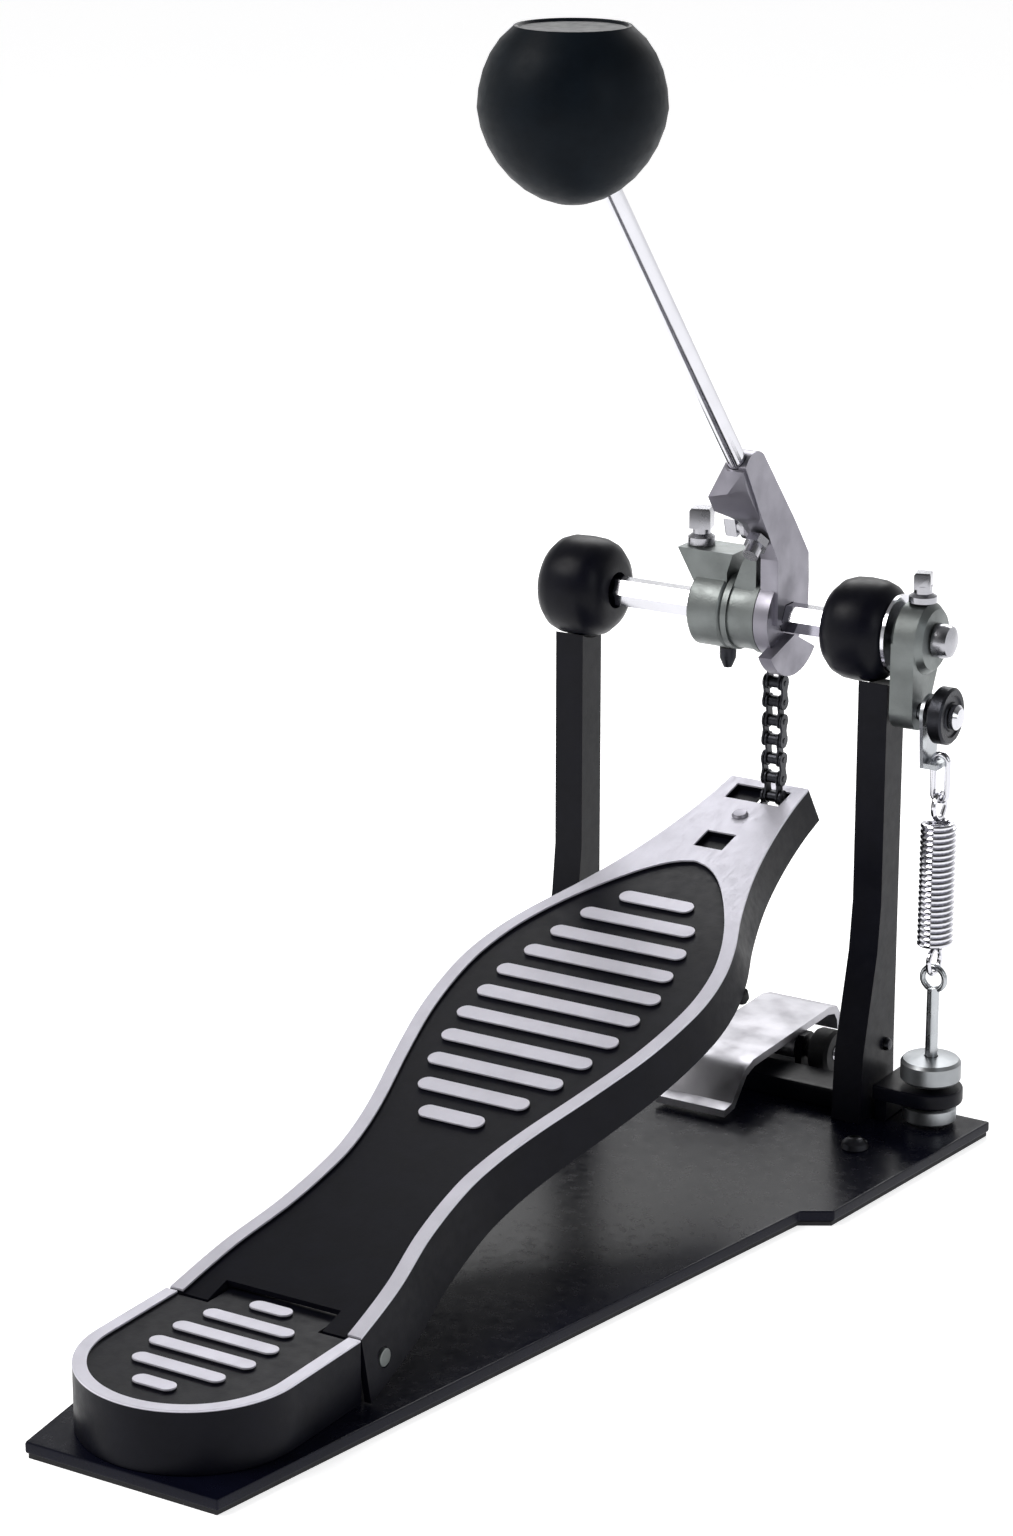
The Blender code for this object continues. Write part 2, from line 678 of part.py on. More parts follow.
def make_collar():
    origin = (0, AXLE_Y, AXLE_Z)
    centre = (AXLE_Y, AXLE_Z)
    profile = [(0, -14.8), (12.4, -14.8), (HUB_RADIUS, -13.6), (HUB_RADIUS, -2.2), (12.8, -1.1), (0, -1.1)]
    collar = build("adjuster_collar", lathe(profile, "X", centre, 24), GREY_CAST, origin)
    ear = [(-13.6, 8), (-1.5, 8), (-1.5, 14.8), (0.8, 21.6), (-21.4, 21.6)]
    ear = [(x, AXLE_Z + z) for x, z in ear]
    fuse(collar, prism(ear, "Y", AXLE_Y - 7.5, AXLE_Y + 7.5), "ear")
    cut(collar, hex_bore(-25, 2), "bore")
    soften(collar, 0.7, 1, 42)
    top = AXLE_Z + 21.9
    key_bolt("collar_bolt", (-15.9, AXLE_Y), "Z", top, top + 13.2, CHROME, origin, 7.6)
    profile = [(0, -14.4), (3.0, -14.4), (3.0, -18.0), (1.5, -21.6), (0, -21.6)]
    spur = [(radius, AXLE_Z + along) for radius, along in profile]
    build("collar_spur", lathe(spur, "Z", (-4.6, AXLE_Y), 14), BLACK_STEEL, origin)


def rod_clamp():
    """Block around the rod, with a lump to the left that carries the clamping thread."""
    block = bmesh.new()
    rings = []
    for distance, outline in CLAMP_SECTIONS:
        rings.append([block.verts.new(point) for point in rod_section(distance, outline)])
    for one, two in zip(rings, rings[1:]):
        join_rings(block, one, two, len(one))
    block.faces.new(rings[0])
    block.faces.new(rings[-1])
    return block


def make_holder():
    origin = (0, AXLE_Y, AXLE_Z)
    arm = [(-8.5, -1.5), (14.0, -1.5), (14.4, 10), (13.8, 20.5), (2.4, 35.1)]
    arm += arc((-26.5, 56.0), 8.4, 36, 152, 7) + [(-21.5, 40), (-9.0, 22)]
    holder = build("beater_holder", prism(axle(arm), "X", 12.6, 19.5), SATIN_ALLOY, origin)
    fuse(holder, rod_clamp(), "rod_clamp")
    spot = rod_point(43)
    fuse(holder, drum((spot[1], spot[2]), 5.2, "X", 7.8, 14.0, 20), "bolt_boss")
    fuse(holder, drum((AXLE_Y, AXLE_Z), HUB_RADIUS, "X", 12.62, 18.2, 30), "hub")
    lobe = [(0, -6)] + arc((0, 0), 20.6, -148, -42, 14)
    fuse(holder, prism(axle(lobe), "X", 16.8, 21.9), "lobe")
    cut(holder, hex_bore(5, 30), "bore")
    cut(holder, bar(rod_point(22), rod_point(130), ROD_RADIUS + 0.22, 20), "rod_hole")
    cut(holder, drum((spot[1], spot[2]), 2.4, "X", 4, ROD_X - 1.5, 16), "bolt_hole")
    soften(holder, 0.6, 1, 42)
    key_bolt("rod_key_bolt", (spot[1], spot[2]), "X", 7.5, -1.2, CHROME, origin, 7.0)
    inner = rod_point(47)
    back = Vector((0, -math.cos(ROD_LEAN), -math.sin(ROD_LEAN)))
    foot = Vector((15.4, inner[1], inner[2])) + back * 8.1
    stop = build("rod_stop_bolt", bar(foot, foot + back * 3.2, 4.4, 6), CHROME, origin)
    fuse(stop, bar(foot + back * 2.8, foot + back * 7.4, 2.8, 14), "tip")


def make_beater():
    origin = (0, AXLE_Y, AXLE_Z)
    length = bar(rod_point(ROD_LOW), rod_point(HEAD_DISTANCE + 2.5), ROD_RADIUS, 20)
    rod = build("beater_rod", length, CHROME, origin)
    soften(rod, 0.6, 1)
    centre = rod_point(HEAD_DISTANCE)
    profile = [(0, -HEAD_RADIUS)]
    top_angle = math.degrees(math.asin(HEAD_FLAT / HEAD_RADIUS))
    steps = 13
    for index in range(1, steps + 1):
        angle = math.radians(-90 + (90 + top_angle) * index / steps)
        if angle > 0:
            radius = HEAD_RADIUS * math.cos(angle) ** HEAD_FULLNESS
        else:
            radius = HEAD_RADIUS * math.cos(angle) * (1 + HEAD_TAPER * math.sin(angle))
        profile.append((radius, HEAD_RADIUS * math.sin(angle)))
    profile += [(18.2, 25.6), (17.2, 25.6), (16.4, 24.8), (0, 24.6)]
    profile = [(radius, centre[2] + along) for radius, along in profile]
    head = build("beater_head", lathe(profile, "Z", (centre[0], centre[1]), 30), BLACK_HEAD, origin)
    socket = bar(rod_point(200), rod_point(HEAD_DISTANCE + 3.5), ROD_RADIUS + 0.25, 20)
    cut(head, socket, "rod_hole")


# ---------------------------------------------------------------- spring side


def make_rocker():
    origin = (0, AXLE_Y, AXLE_Z)
    centre = (AXLE_Y, AXLE_Z)
    profile = [(0, 64.8), (11.4, 64.8), (12.6, 66.1), (12.6, 74.2), (10.6, 76.4), (0, 76.8)]
    rocker = build("rocker", lathe(profile, "X", centre, 24), GREY_CAST, origin)
    lever = arc((PIN_Y, PIN_Z), 6.6, 170, 358, 12) + [(9.5, -6), (9.5, 0), (-12.5, 0), (-12.5, -5)]
    fuse(rocker, prism(axle(lever), "X", 65.4, 74.2), "lever")
    cut(rocker, drum(centre, JOURNAL_RADIUS + 0.25, "X", 55, 85, 20), "bore")
    pin_centre = axle([(PIN_Y, PIN_Z)])[0]
    cut(rocker, drum(pin_centre, 3.1, "X", 60, 80, 16), "pin_hole")
    soften(rocker, 0.7, 1, 42)
    top = AXLE_Z + 12.9
    key_bolt("rocker_key_bolt", (71.0, AXLE_Y), "Z", top, top + 10.4, CHROME, origin, 5.8)
    profile = [(0, 65.6), (2.8, 65.6), (2.8, 86.8), (4.4, 86.8), (4.4, 88.4), (3.2, 89.6), (0, 90.0)]
    build("rocker_pin", lathe(profile, "X", pin_centre, 18), CHROME, origin)


def make_roller():
    pin_centre = axle([(PIN_Y, PIN_Z)])[0]
    origin = (SPRING_X, pin_centre[0], pin_centre[1])
    profile = [(3.15, 79.0), (4.8, 79.0), (5.2, 80.9), (8.6, 81.1), (9.2, 81.0), (10.0, 81.7)]
    profile += [(10.0, 85.8), (9.2, 86.5), (7.4, 86.5), (6.9, 85.9), (5.2, 85.9), (4.8, 86.5)]
    profile += [(3.15, 86.5)]
    build("spring_roller", lathe(profile, "X", pin_centre, 28), BLACK_STEEL, origin)
    plate = arc((PIN_Y, PIN_Z), 6.8, -20, 200, 12) + [(PIN_Y - 5.2, -43.0), (PIN_Y + 5.2, -43.0)]
    stirrup = build("spring_stirrup", prism(axle(plate), "X", 77.1, 78.4), ZINC, origin)
    low = (77.1, AXLE_Y + PIN_Y - 5.2, AXLE_Z - 43.0)
    high = (83.6, AXLE_Y + PIN_Y + 5.2, AXLE_Z - 41.2)
    fuse(stirrup, box(low, high), "tab")
    cut(stirrup, drum(pin_centre, 3.15, "X", 70, 90, 16), "pin_hole")
    low = (78.65, AXLE_Y + PIN_Y - 3.2, AXLE_Z - 50)
    cut(stirrup, box(low, (81.3, AXLE_Y + PIN_Y + 3.2, AXLE_Z - 38)), "hook_slot")


def make_hook():
    y = AXLE_Y + PIN_Y
    top = AXLE_Z - 38.6 - HOOK_RADIUS
    low = AXLE_Z - 55.2 + HOOK_RADIUS
    path = [(SPRING_X + a, y, top + b) for a, b in arc((0, 0), HOOK_RADIUS, 0, 180, 8)]
    path += [(SPRING_X + a, y, low + b) for a, b in arc((0, 0), HOOK_RADIUS, 180, 360, 8)]
    build("spring_hook", wire(path, 1.1, 8, True), CHROME, (SPRING_X, y, AXLE_Z + PIN_Z))


def ring_path(centre, radius, plane, steps=14):
    path = []
    for a, b in circle((0, 0), radius, steps):
        if plane == "YZ":
            path.append((centre[0], centre[1] + a, centre[2] + b))
        else:
            path.append((centre[0] + a, centre[1], centre[2] + b))
    return path


def make_spring():
    y = AXLE_Y + PIN_Y
    turns = 14
    pitch = (COIL_TOP - COIL_LOW) / turns
    profile = [(0, COIL_LOW)]
    for index in range(turns):
        low = COIL_LOW + pitch * index
        profile += [(COIL_RADIUS - 0.7, low + 0.02 * pitch), (COIL_RADIUS, low + pitch * 0.5)]
    profile += [(COIL_RADIUS - 0.7, COIL_TOP), (0, COIL_TOP)]
    origin = (SPRING_X, y, STAND)
    spring = build("spring", lathe(profile, "Z", (SPRING_X, y), 12), CHROME, origin)
    upper = (SPRING_X, y, AXLE_Z - 57.2)
    fuse(spring, wire(ring_path(upper, 4.6, "YZ"), WIRE_RADIUS, 6, True), "upper_loop")
    lower = (SPRING_X, y, AXLE_Z - 114.1)
    fuse(spring, wire(ring_path(lower, 4.6, "YZ"), WIRE_RADIUS, 6, True), "lower_loop")


def make_tensioner():
    y = AXLE_Y + PIN_Y
    at = (SPRING_X, y)
    origin = (SPRING_X, y, 17.3)
    rod = build("tension_rod", drum(at, 2.2, "Z", 8.0, AXLE_Z - 124.0, 18), ZINC, origin)
    eye = (SPRING_X, y, AXLE_Z - 120.5)
    fuse(rod, wire(ring_path(eye, 4.2, "XZ"), 1.1, 8, True), "eye")
    profile = [(2.5, 20.0), (4.2, 20.0), (9.6, 21.5), (10.7, 22.6), (10.7, 28.4), (9.8, 29.6), (4.6, 30.4)]
    profile += [(2.5, 30.4)]
    build("tension_nut", lathe(profile, "Z", at, 32), ZINC, origin)
    profile = [(2.5, 6.7), (8.6, 6.7), (9.5, 7.5), (9.5, 12.0), (8.8, 12.8), (5.0, 13.1), (2.5, 13.1)]
    build("swivel_boss", lathe(profile, "Z", at, 28), ZINC, origin)
    outline = [(65.2, -17)] + arc((SPRING_X, PIN_Y), 11.6, -90, 90, 8) + [(65.2, 5)]
    outline = around((0, AXLE_Y), outline)
    ear = build("spring_ear", prism(outline, "Z", 14.0, 19.4), BLACK_CAST)
    leg = box((65.2, AXLE_Y - 15, STAND), (69.8, AXLE_Y + 3.5, 16.5))
    fuse(ear, leg, "leg")
    cut(ear, drum(at, 3.4, "Z", 10, 25, 20), "hole")
    soften(ear, 0.8, 1)


# ---------------------------------------------------------------- hoop clamp


def make_clamp():
    origin = (0, AXLE_Y + JAW_PIN_Y, JAW_PIN_Z)
    outer = [(-44, 9.6), (-38.5, 10.4), (-30, 19.6), (-23, 22.0), (36, 23.0), (42, 21.6), (45.4, 17)]
    outer += [(46, 12.0)]
    inner = [(42.8, 12.0), (42.2, 16), (40, 19.0), (35, 20.2), (-22, 19.0), (-28, 17.2), (-36.6, 7.8)]
    inner += [(-44, 6.9)]
    outline = around((AXLE_Y, 0), outer + inner)
    jaw = build("hoop_jaw", prism(outline, "X", JAW_LOW_X, JAW_HIGH_X), SATIN_ALLOY, origin)
    pad = build("hoop_pad", box((-6, AXLE_Y + 25.8, 5.8), (20, AXLE_Y + 43.5, 7.3)), BLACK_RUBBER)
    soften(pad, 0.4, 1)
    centre = (AXLE_Y + JAW_PIN_Y, JAW_PIN_Z)
    fuse(jaw, drum(centre, 5.0, "X", JAW_LOW_X + 0.5, JAW_HIGH_X - 0.5, 20), "hinge_boss")
    cut(jaw, drum(centre, 2.9, "X", -20, 40, 18), "bore")
    soften(jaw, 0.6, 1, 35)
    build("jaw_pin", drum(centre, 2.55, "X", -9.9, 24.0, 16), ZINC)
    floor = box((-9.7, AXLE_Y + 8.5, STAND), (23.7, AXLE_Y + 24, 8.2))
    bracket = build("jaw_bracket", floor, BLACK_CAST)
    cheeks = bmesh.new()
    side = [(8.5, STAND), (24, STAND), (20.5, 17.5), (17, 20.2), (11, 20.2), (8.5, 17.5)]
    for low, high in ((-9.7, -7.3), (21.3, 23.7)):
        prism(around((AXLE_Y, 0), side), "X", low, high, cheeks)
    fuse(bracket, cheeks, "cheeks")
    cut(bracket, drum(centre, 2.8, "X", -20, 40, 16), "bore")
    profile = [(0, 24.6), (4.0, 24.6), (4.0, 26.6), (7.6, 27.4), (8.2, 28.6), (8.2, 34.0), (7.2, 35.2)]
    profile += [(3.2, 35.2), (3.2, 33.6), (0, 33.6)]
    build("clamp_knob", lathe(profile, "X", centre, 24), BLACK_RUBBER, origin)
    profile = [(0, 33.8), (2.9, 33.8), (2.9, 35.4), (2.0, 36.2), (0, 36.4)]
    build("knob_screw", lathe(profile, "X", centre, 14), CHROME, origin)


clear_scene()
make_base()
make_heel()
make_footboard()
make_toe_parts()
make_chain()
make_uprights()
make_axle()
make_drive_cam()
make_collar()
make_holder()
make_beater()
make_rocker()
make_roller()
make_hook()
make_spring()
make_tensioner()
make_clamp()
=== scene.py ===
import json
import math

import bmesh
import bpy
from mathutils import Matrix, Vector


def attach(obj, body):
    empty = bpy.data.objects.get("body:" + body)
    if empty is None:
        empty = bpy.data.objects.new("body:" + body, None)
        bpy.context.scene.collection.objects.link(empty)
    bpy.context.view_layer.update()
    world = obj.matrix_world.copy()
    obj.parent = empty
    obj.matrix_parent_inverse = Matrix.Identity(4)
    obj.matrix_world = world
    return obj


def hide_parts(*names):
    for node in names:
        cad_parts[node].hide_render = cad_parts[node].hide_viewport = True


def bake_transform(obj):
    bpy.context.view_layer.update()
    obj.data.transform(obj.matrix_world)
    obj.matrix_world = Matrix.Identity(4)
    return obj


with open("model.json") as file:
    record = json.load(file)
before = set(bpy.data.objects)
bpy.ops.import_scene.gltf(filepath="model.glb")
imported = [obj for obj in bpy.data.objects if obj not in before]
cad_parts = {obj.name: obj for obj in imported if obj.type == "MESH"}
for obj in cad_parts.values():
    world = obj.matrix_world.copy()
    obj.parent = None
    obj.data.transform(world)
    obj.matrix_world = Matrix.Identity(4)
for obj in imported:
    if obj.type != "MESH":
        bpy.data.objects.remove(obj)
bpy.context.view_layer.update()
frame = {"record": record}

MM = 0.001

# Round outlines get this many times their stated steps, and looped wires this many sides
FINE = 3
WIRE_SIDES = 16

# Axle, hinge and tread
AXLE_Y = 297.5
AXLE_Z = 180.0
HINGE_Y = 10.8
HINGE_Z = 16.5
HEEL_TOP = 26.6
TREAD_TILT = math.radians(14.39)

# Floor plate
PAD_TOP = 1.5
PLATE_LOW = 1.7
PLATE_TOP = 5.5
STAND = 5.7

# Footboard: (distance from the heel joint, half width of the rim)
TREAD_WIDTH = [
    (-8, 35.6), (0, 35.4), (26, 33.0), (52, 28.2), (78, 26.4), (95, 28.0), (112, 31.6),
    (136, 38.2), (160, 44.0), (180, 46.8), (197, 47.4), (214, 45.2), (230, 40.5),
    (248, 33.2), (267, 26.8), (284, 22.4), (303, 18.8), (320, 16.6), (333, 15.7),
]
SKIRT_DEPTH = [(-8, 20.4), (0, 20.0), (60, 19.0), (120, 16.0), (200, 13.5), (333, 12.5)]
POCKET_WIDTH = [
    (-12, 30.6), (0, 30.6), (26, 28.2), (52, 23.4), (78, 21.6), (95, 23.2), (112, 26.8),
    (136, 33.4), (160, 39.2), (180, 42.0), (197, 42.6), (214, 40.4), (228, 36.2),
    (240, 31.0), (250, 25.6), (258, 20.6), (265, 15.6), (271, 10.0), (274.5, 5.0), (276, 0.6),
]
SKIRT_FLARE = 3.2
SKIRT_WALL = 2.4
DECK = 3.5
POCKET_DEPTH = 1.2
RECESS_DEPTH = 2.5
RIB_WIDTH = 6.4
TREAD_START = -8
TREAD_END = 333
POCKET_START = -12
POCKET_LENGTH = 288
TOE_SLOT = (318.6, 328.8)
TOE_SCREW = (0.7, 308.6)
TOE_SCREW_BORE = 1.8
NOTCH_HALF = 21.3
HINGE_BORE = 3.2
TREAD_RIB_START = 110.3
TREAD_RIB_PITCH = 13.74
TREAD_RIB_HALVES = [12.2, 21.0, 25.7, 28.8, 31.1, 31.4, 31.8, 29.0, 26.5, 22.4, 14.5]

# Heel plate
HEEL_HALF = 36.1
HEEL_RIM = 4.4
HEEL_RIB_START = 4.1
HEEL_RIB_PITCH = -11.96
HEEL_RIB_HALVES = [7.5, 16.3, 19.0, 19.0, 16.5, 7.5]
KNUCKLE_HALF = 20.5
KNUCKLE_RADIUS = 8.9

# Chain
CHAIN_X = 6.0
CHAIN_PITCH = 7.15
CHAIN_LINKS = 12
CHAIN_PIN_Y = 16.5
CHAIN_PIN_Z = 6.0
LINK_RADIUS = 2.8

# Uprights
POST_WIDTH = 11.2
LEFT_POST_X = -64.5
RIGHT_POST_X = 57.5
FOOT_BOLT_X = 71.0
LEFT_HOUSING_X = -63.0
RIGHT_HOUSING_X = 49.2
HOUSING_RADIUS = 18.1
LEFT_HOUSING_HALF = 13.0
RIGHT_HOUSING_HALF = 12.3
BEARING_RADIUS = 10.85

# Axle parts
JOURNAL_RADIUS = 4.0
HEX_RADIUS = 5.5
HUB_RADIUS = 14.0

# Beater
ROD_X = 14.6
ROD_FRONT = 19.9
ROD_LEAN = math.radians(39.7)
ROD_RADIUS = 3.5
ROD_LOW = 38.0
HEAD_DISTANCE = 252.6
HEAD_RADIUS = 29.7
HEAD_FLAT = 25.0
HEAD_FULLNESS = 0.75
HEAD_TAPER = 0.1

# Clamp around the rod: (distance along it, outline across it as X and reach in front)
CLAMP_SECTIONS = [
    (39.5, [(18.6, 6.0), (18.6, -5.6), (13.0, -5.6), (9.8, -5.0), (9.8, 5.0)]),
    (52.0, [(18.6, 6.0), (18.6, -5.8), (13.0, -6.4), (9.4, -6.0), (9.2, 4.0)]),
    (57.0, [(18.6, 6.0), (18.6, -6.4), (12.6, -8.4), (8.0, -7.8), (8.0, 2.5)]),
    (65.0, [(18.6, 6.0), (18.6, -6.6), (12.2, -9.6), (5.6, -11.6), (6.2, 1.5)]),
    (72.5, [(18.6, 6.0), (18.6, -6.2), (12.2, -9.2), (5.6, -11.2), (6.2, 1.5)]),
    (79.5, [(18.6, 4.4), (18.6, -4.3), (12.6, -4.6), (10.6, -2.5), (10.4, 4.2)]),
]

# Return spring
SPRING_X = 82.6
PIN_Y = -6.0
PIN_Z = -24.5
COIL_RADIUS = 6.5
COIL_TOP = 118.2
COIL_LOW = 70.5
WIRE_RADIUS = 1.0
HOOK_RADIUS = 2.7
HOOK_WIRE = 1.1
EYE_RADIUS = 4.2
LOOP_RADIUS = 4.6
LOOP_STEPS = 25
LOW_LOOP_Z = AXLE_Z - 114.1
HIGH_LOOP_Z = AXLE_Z - 57.2

# Hoop clamp
JAW_LOW_X = -7.0
JAW_HIGH_X = 21.0
JAW_PIN_Y = 14.0
JAW_PIN_Z = 15.2


BODIES = frame["record"]["behaviour"]["bodies"]
BODY_OF = {node: body for body, nodes in BODIES.items() for node in nodes}


def new_object(name, mesh_data):
    """Turns millimetre geometry into an object in metres, in place."""
    bmesh.ops.remove_doubles(mesh_data, verts=mesh_data.verts, dist=0.0005)
    bmesh.ops.recalc_face_normals(mesh_data, faces=mesh_data.faces)
    bmesh.ops.scale(mesh_data, vec=(MM, MM, MM), verts=mesh_data.verts)
    mesh = bpy.data.meshes.new(name)
    mesh_data.to_mesh(mesh)
    mesh_data.free()
    item = bpy.data.objects.new(name, mesh)
    bpy.context.scene.collection.objects.link(item)
    return item


def settle(item):
    """Applies the piece's modifiers to its mesh."""
    bpy.context.view_layer.update()
    graph = bpy.context.evaluated_depsgraph_get()
    mesh = bpy.data.meshes.new_from_object(item.evaluated_get(graph))
    old = item.data
    item.modifiers.clear()
    item.data = mesh
    bpy.data.meshes.remove(old)


def build(node, mesh_data):
    """A fine piece that stands for the CAD node of the same name."""
    item = new_object("fine_" + node, mesh_data)
    item["node"] = node
    PIECES.append(item)
    return item


def combine(item, mesh_data, operation):
    tool = new_object("tool", mesh_data)
    change = item.modifiers.new("combine", "BOOLEAN")
    change.operation = operation
    change.solver = "EXACT"
    change.object = tool
    settle(item)
    bpy.data.objects.remove(tool, do_unlink=True)


def cut(item, mesh_data):
    combine(item, mesh_data, "DIFFERENCE")


def fuse(item, mesh_data):
    combine(item, mesh_data, "UNION")


def soften(item, width, angle=40):
    """Rounds the edges that are sharper than the angle."""
    bevel = item.modifiers.new("soft_edges", "BEVEL")
    bevel.width = width * MM
    bevel.segments = 2
    bevel.limit_method = "ANGLE"
    bevel.angle_limit = math.radians(angle)
    bevel.use_clamp_overlap = True
    settle(item)
    item["softened"] = 1


PIECES = []


def place(axis, first, second, along):
    """A point from two flat coordinates and one along the axis."""
    if axis == "X":
        return (along, first, second)
    if axis == "Y":
        return (first, along, second)
    return (first, second, along)


def prism(outline, axis, low, high, target=None):
    """Extrudes a closed outline along an axis."""
    mesh_data = target or bmesh.new()
    near = [mesh_data.verts.new(place(axis, a, b, low)) for a, b in outline]
    far = [mesh_data.verts.new(place(axis, a, b, high)) for a, b in outline]
    count = len(outline)
    mesh_data.faces.new(near)
    mesh_data.faces.new(far)
    for index in range(count):
        after = (index + 1) % count
        mesh_data.faces.new((near[index], near[after], far[after], far[index]))
    return mesh_data


def box(low, high):
    outline = [(low[0], low[1]), (high[0], low[1]), (high[0], high[1]), (low[0], high[1])]
    return prism(outline, "Z", low[2], high[2])


def fine(steps):
    """Six sides or fewer are flats; more stand for a round."""
    return steps * FINE if steps > 6 else steps


def circle(centre, radius, steps, start=0.0):
    points = []
    steps = fine(steps)
    for index in range(steps):
        angle = start + 2 * math.pi * index / steps
        points.append((centre[0] + radius * math.cos(angle), centre[1] + radius * math.sin(angle)))
    return points


def arc(centre, radius, first, last, steps):
    points = []
    steps = steps * FINE
    for index in range(steps + 1):
        angle = math.radians(first + (last - first) * index / steps)
        points.append((centre[0] + radius * math.cos(angle), centre[1] + radius * math.sin(angle)))
    return points


def drum(centre, radius, axis, low, high, steps=24):
    return prism(circle(centre, radius, steps), axis, low, high)


def lathe(profile, axis, centre, steps, target=None):
    """Turns (radius, along) points round an axis; a profile off the axis closes on itself."""
    mesh_data = target or bmesh.new()
    rings = []
    for radius, along in profile:
        if radius < 1e-6:
            rings.append([mesh_data.verts.new(place(axis, centre[0], centre[1], along))])
            continue
        flat = circle(centre, radius, steps)
        rings.append([mesh_data.verts.new(place(axis, a, b, along)) for a, b in flat])
    pairs = list(zip(rings, rings[1:]))
    if len(rings[0]) > 1 and len(rings[-1]) > 1:
        pairs.append((rings[-1], rings[0]))
    for one, two in pairs:
        join_rings(mesh_data, one, two, fine(steps))
    return mesh_data


def join_rings(mesh_data, one, two, steps):
    """Faces between two rings; a ring of one point is a tip."""
    for index in range(steps):
        after = (index + 1) % steps
        if len(one) == 1 and len(two) == 1:
            return
        if len(one) == 1:
            mesh_data.faces.new((one[0], two[index], two[after]))
        elif len(two) == 1:
            mesh_data.faces.new((one[index], one[after], two[0]))
        else:
            mesh_data.faces.new((one[index], one[after], two[after], two[index]))


def closed_wire(path, radius):
    """A round wire along a closed path that stays in one plane."""
    mesh_data = bmesh.new()
    points = [Vector(point) for point in path]
    count = len(points)
    spans = [points[(i + 1) % count] - points[i] for i in range(count)]
    normal = spans[0].cross(spans[count // 2])
    if normal.length < 1e-6:
        normal = spans[0].orthogonal()
    normal.normalize()
    rings = []
    for index in range(count):
        forward = (points[(index + 1) % count] - points[index - 1]).normalized()
        side = forward.cross(normal).normalized()
        ring = []
        for step in range(WIRE_SIDES):
            angle = 2 * math.pi * step / WIRE_SIDES
            offset = side * math.cos(angle) * radius + normal * math.sin(angle) * radius
            ring.append(mesh_data.verts.new(points[index] + offset))
        rings.append(ring)
    for one, two in zip(rings, rings[1:] + rings[:1]):
        join_rings(mesh_data, one, two, WIRE_SIDES)
    return mesh_data


def bar(start, end, radius, steps=20):
    """A straight round bar between two points."""
    mesh_data = bmesh.new()
    begin = Vector(start)
    along = Vector(end) - begin
    turn = along.to_track_quat("Z", "Y").to_matrix()
    rings = []
    steps = fine(steps)
    for distance in (0.0, along.length):
        ring = []
        for step in range(steps):
            angle = 2 * math.pi * step / steps
            flat = Vector((radius * math.cos(angle), radius * math.sin(angle), distance))
            ring.append(mesh_data.verts.new(begin + turn @ flat))
        rings.append(ring)
    mesh_data.faces.new(rings[0])
    mesh_data.faces.new(rings[1])
    join_rings(mesh_data, rings[0], rings[1], steps)
    return mesh_data


def around(centre, points):
    """Moves flat points so that their origin is at a centre."""
    return [(centre[0] + a, centre[1] + b) for a, b in points]


def lookup(table, value):
    """Smooth value between the rows of a two-column table."""
    if value <= table[0][0]:
        return table[0][1]
    for index in range(len(table) - 1):
        low, high = table[index], table[index + 1]
        if value > high[0]:
            continue
        share = (value - low[0]) / (high[0] - low[0])
        before = table[max(index - 1, 0)]
        beyond = table[min(index + 2, len(table) - 1)]
        slope_low = (high[1] - before[1]) / (high[0] - before[0])
        slope_high = (beyond[1] - low[1]) / (beyond[0] - low[0])
        reach = high[0] - low[0]
        one = 2 * share**3 - 3 * share**2 + 1
        two = share**3 - 2 * share**2 + share
        three = -2 * share**3 + 3 * share**2
        four = share**3 - share**2
        return one * low[1] + two * reach * slope_low + three * high[1] + four * reach * slope_high
    return table[-1][1]


def slotted(half_length, half_width):
    """Outline of a bar with round ends, along the first coordinate."""
    reach = half_length - half_width
    right = arc((reach, 0), half_width, -90, 90, 4)
    left = arc((-reach, 0), half_width, 90, 270, 4)
    return right + left


def on_tread(mesh_data):
    """Moves geometry from tread coordinates (across, along, normal) into the world."""
    turn = Matrix.Rotation(TREAD_TILT, 4, "X")
    shift = Matrix.Translation((0.0, 0.0, HEEL_TOP))
    bmesh.ops.transform(mesh_data, matrix=shift @ turn, verts=mesh_data.verts)
    return mesh_data


def axle(points):
    """Flat (Y, Z) points measured from the axle's centre."""
    return around((AXLE_Y, AXLE_Z), points)


def rod_point(distance):
    """World point on the beater rod's centre line, that far from the axle's height."""
    back = ROD_FRONT - distance * math.sin(ROD_LEAN)
    up = distance * math.cos(ROD_LEAN)
    return (ROD_X, AXLE_Y + back, AXLE_Z + up)


def rod_section(distance, outline):
    """World points of an outline across the beater rod."""
    middle = Vector(rod_point(distance))
    front = Vector((0, math.cos(ROD_LEAN), math.sin(ROD_LEAN)))
    return [Vector((x, middle.y, middle.z)) + front * reach for x, reach in outline]


# ---------------------------------------------------------------- floor plate


def base_outline(inset):
    rear = -73.8 + inset
    right = [(35 - inset, rear), (80.7 - inset, 197.3), (90.5 - inset, 203.3)]
    right += [(100.9 - inset, 302.9 - inset)]
    left = [(-86 + inset, 302.9 - inset), (-79 + inset, 203.3), (-72 + inset, 197.3)]
    left += [(-35 + inset, rear)]
    return right, left


def make_base():
    right, left = base_outline(0)
    tongue = [(31, 302.9), (29, 339), (25, 343), (-11, 343), (-15, 339), (-17, 302.9)]
    plate = build("base_plate", prism(right + tongue + left, "Z", PLATE_LOW, PLATE_TOP))
    soften(plate, 0.7)
    right, left = base_outline(0.8)
    build("base_pad", prism(right + left, "Z", 0.0, PAD_TOP))


# ---------------------------------------------------------------- heel plate


def heel_outline(inset, front):
    half = HEEL_HALF - inset
    back = arc((0, -HEEL_HALF), half, 180, 360, 24)
    return [(half, front), (-half, front)] + back


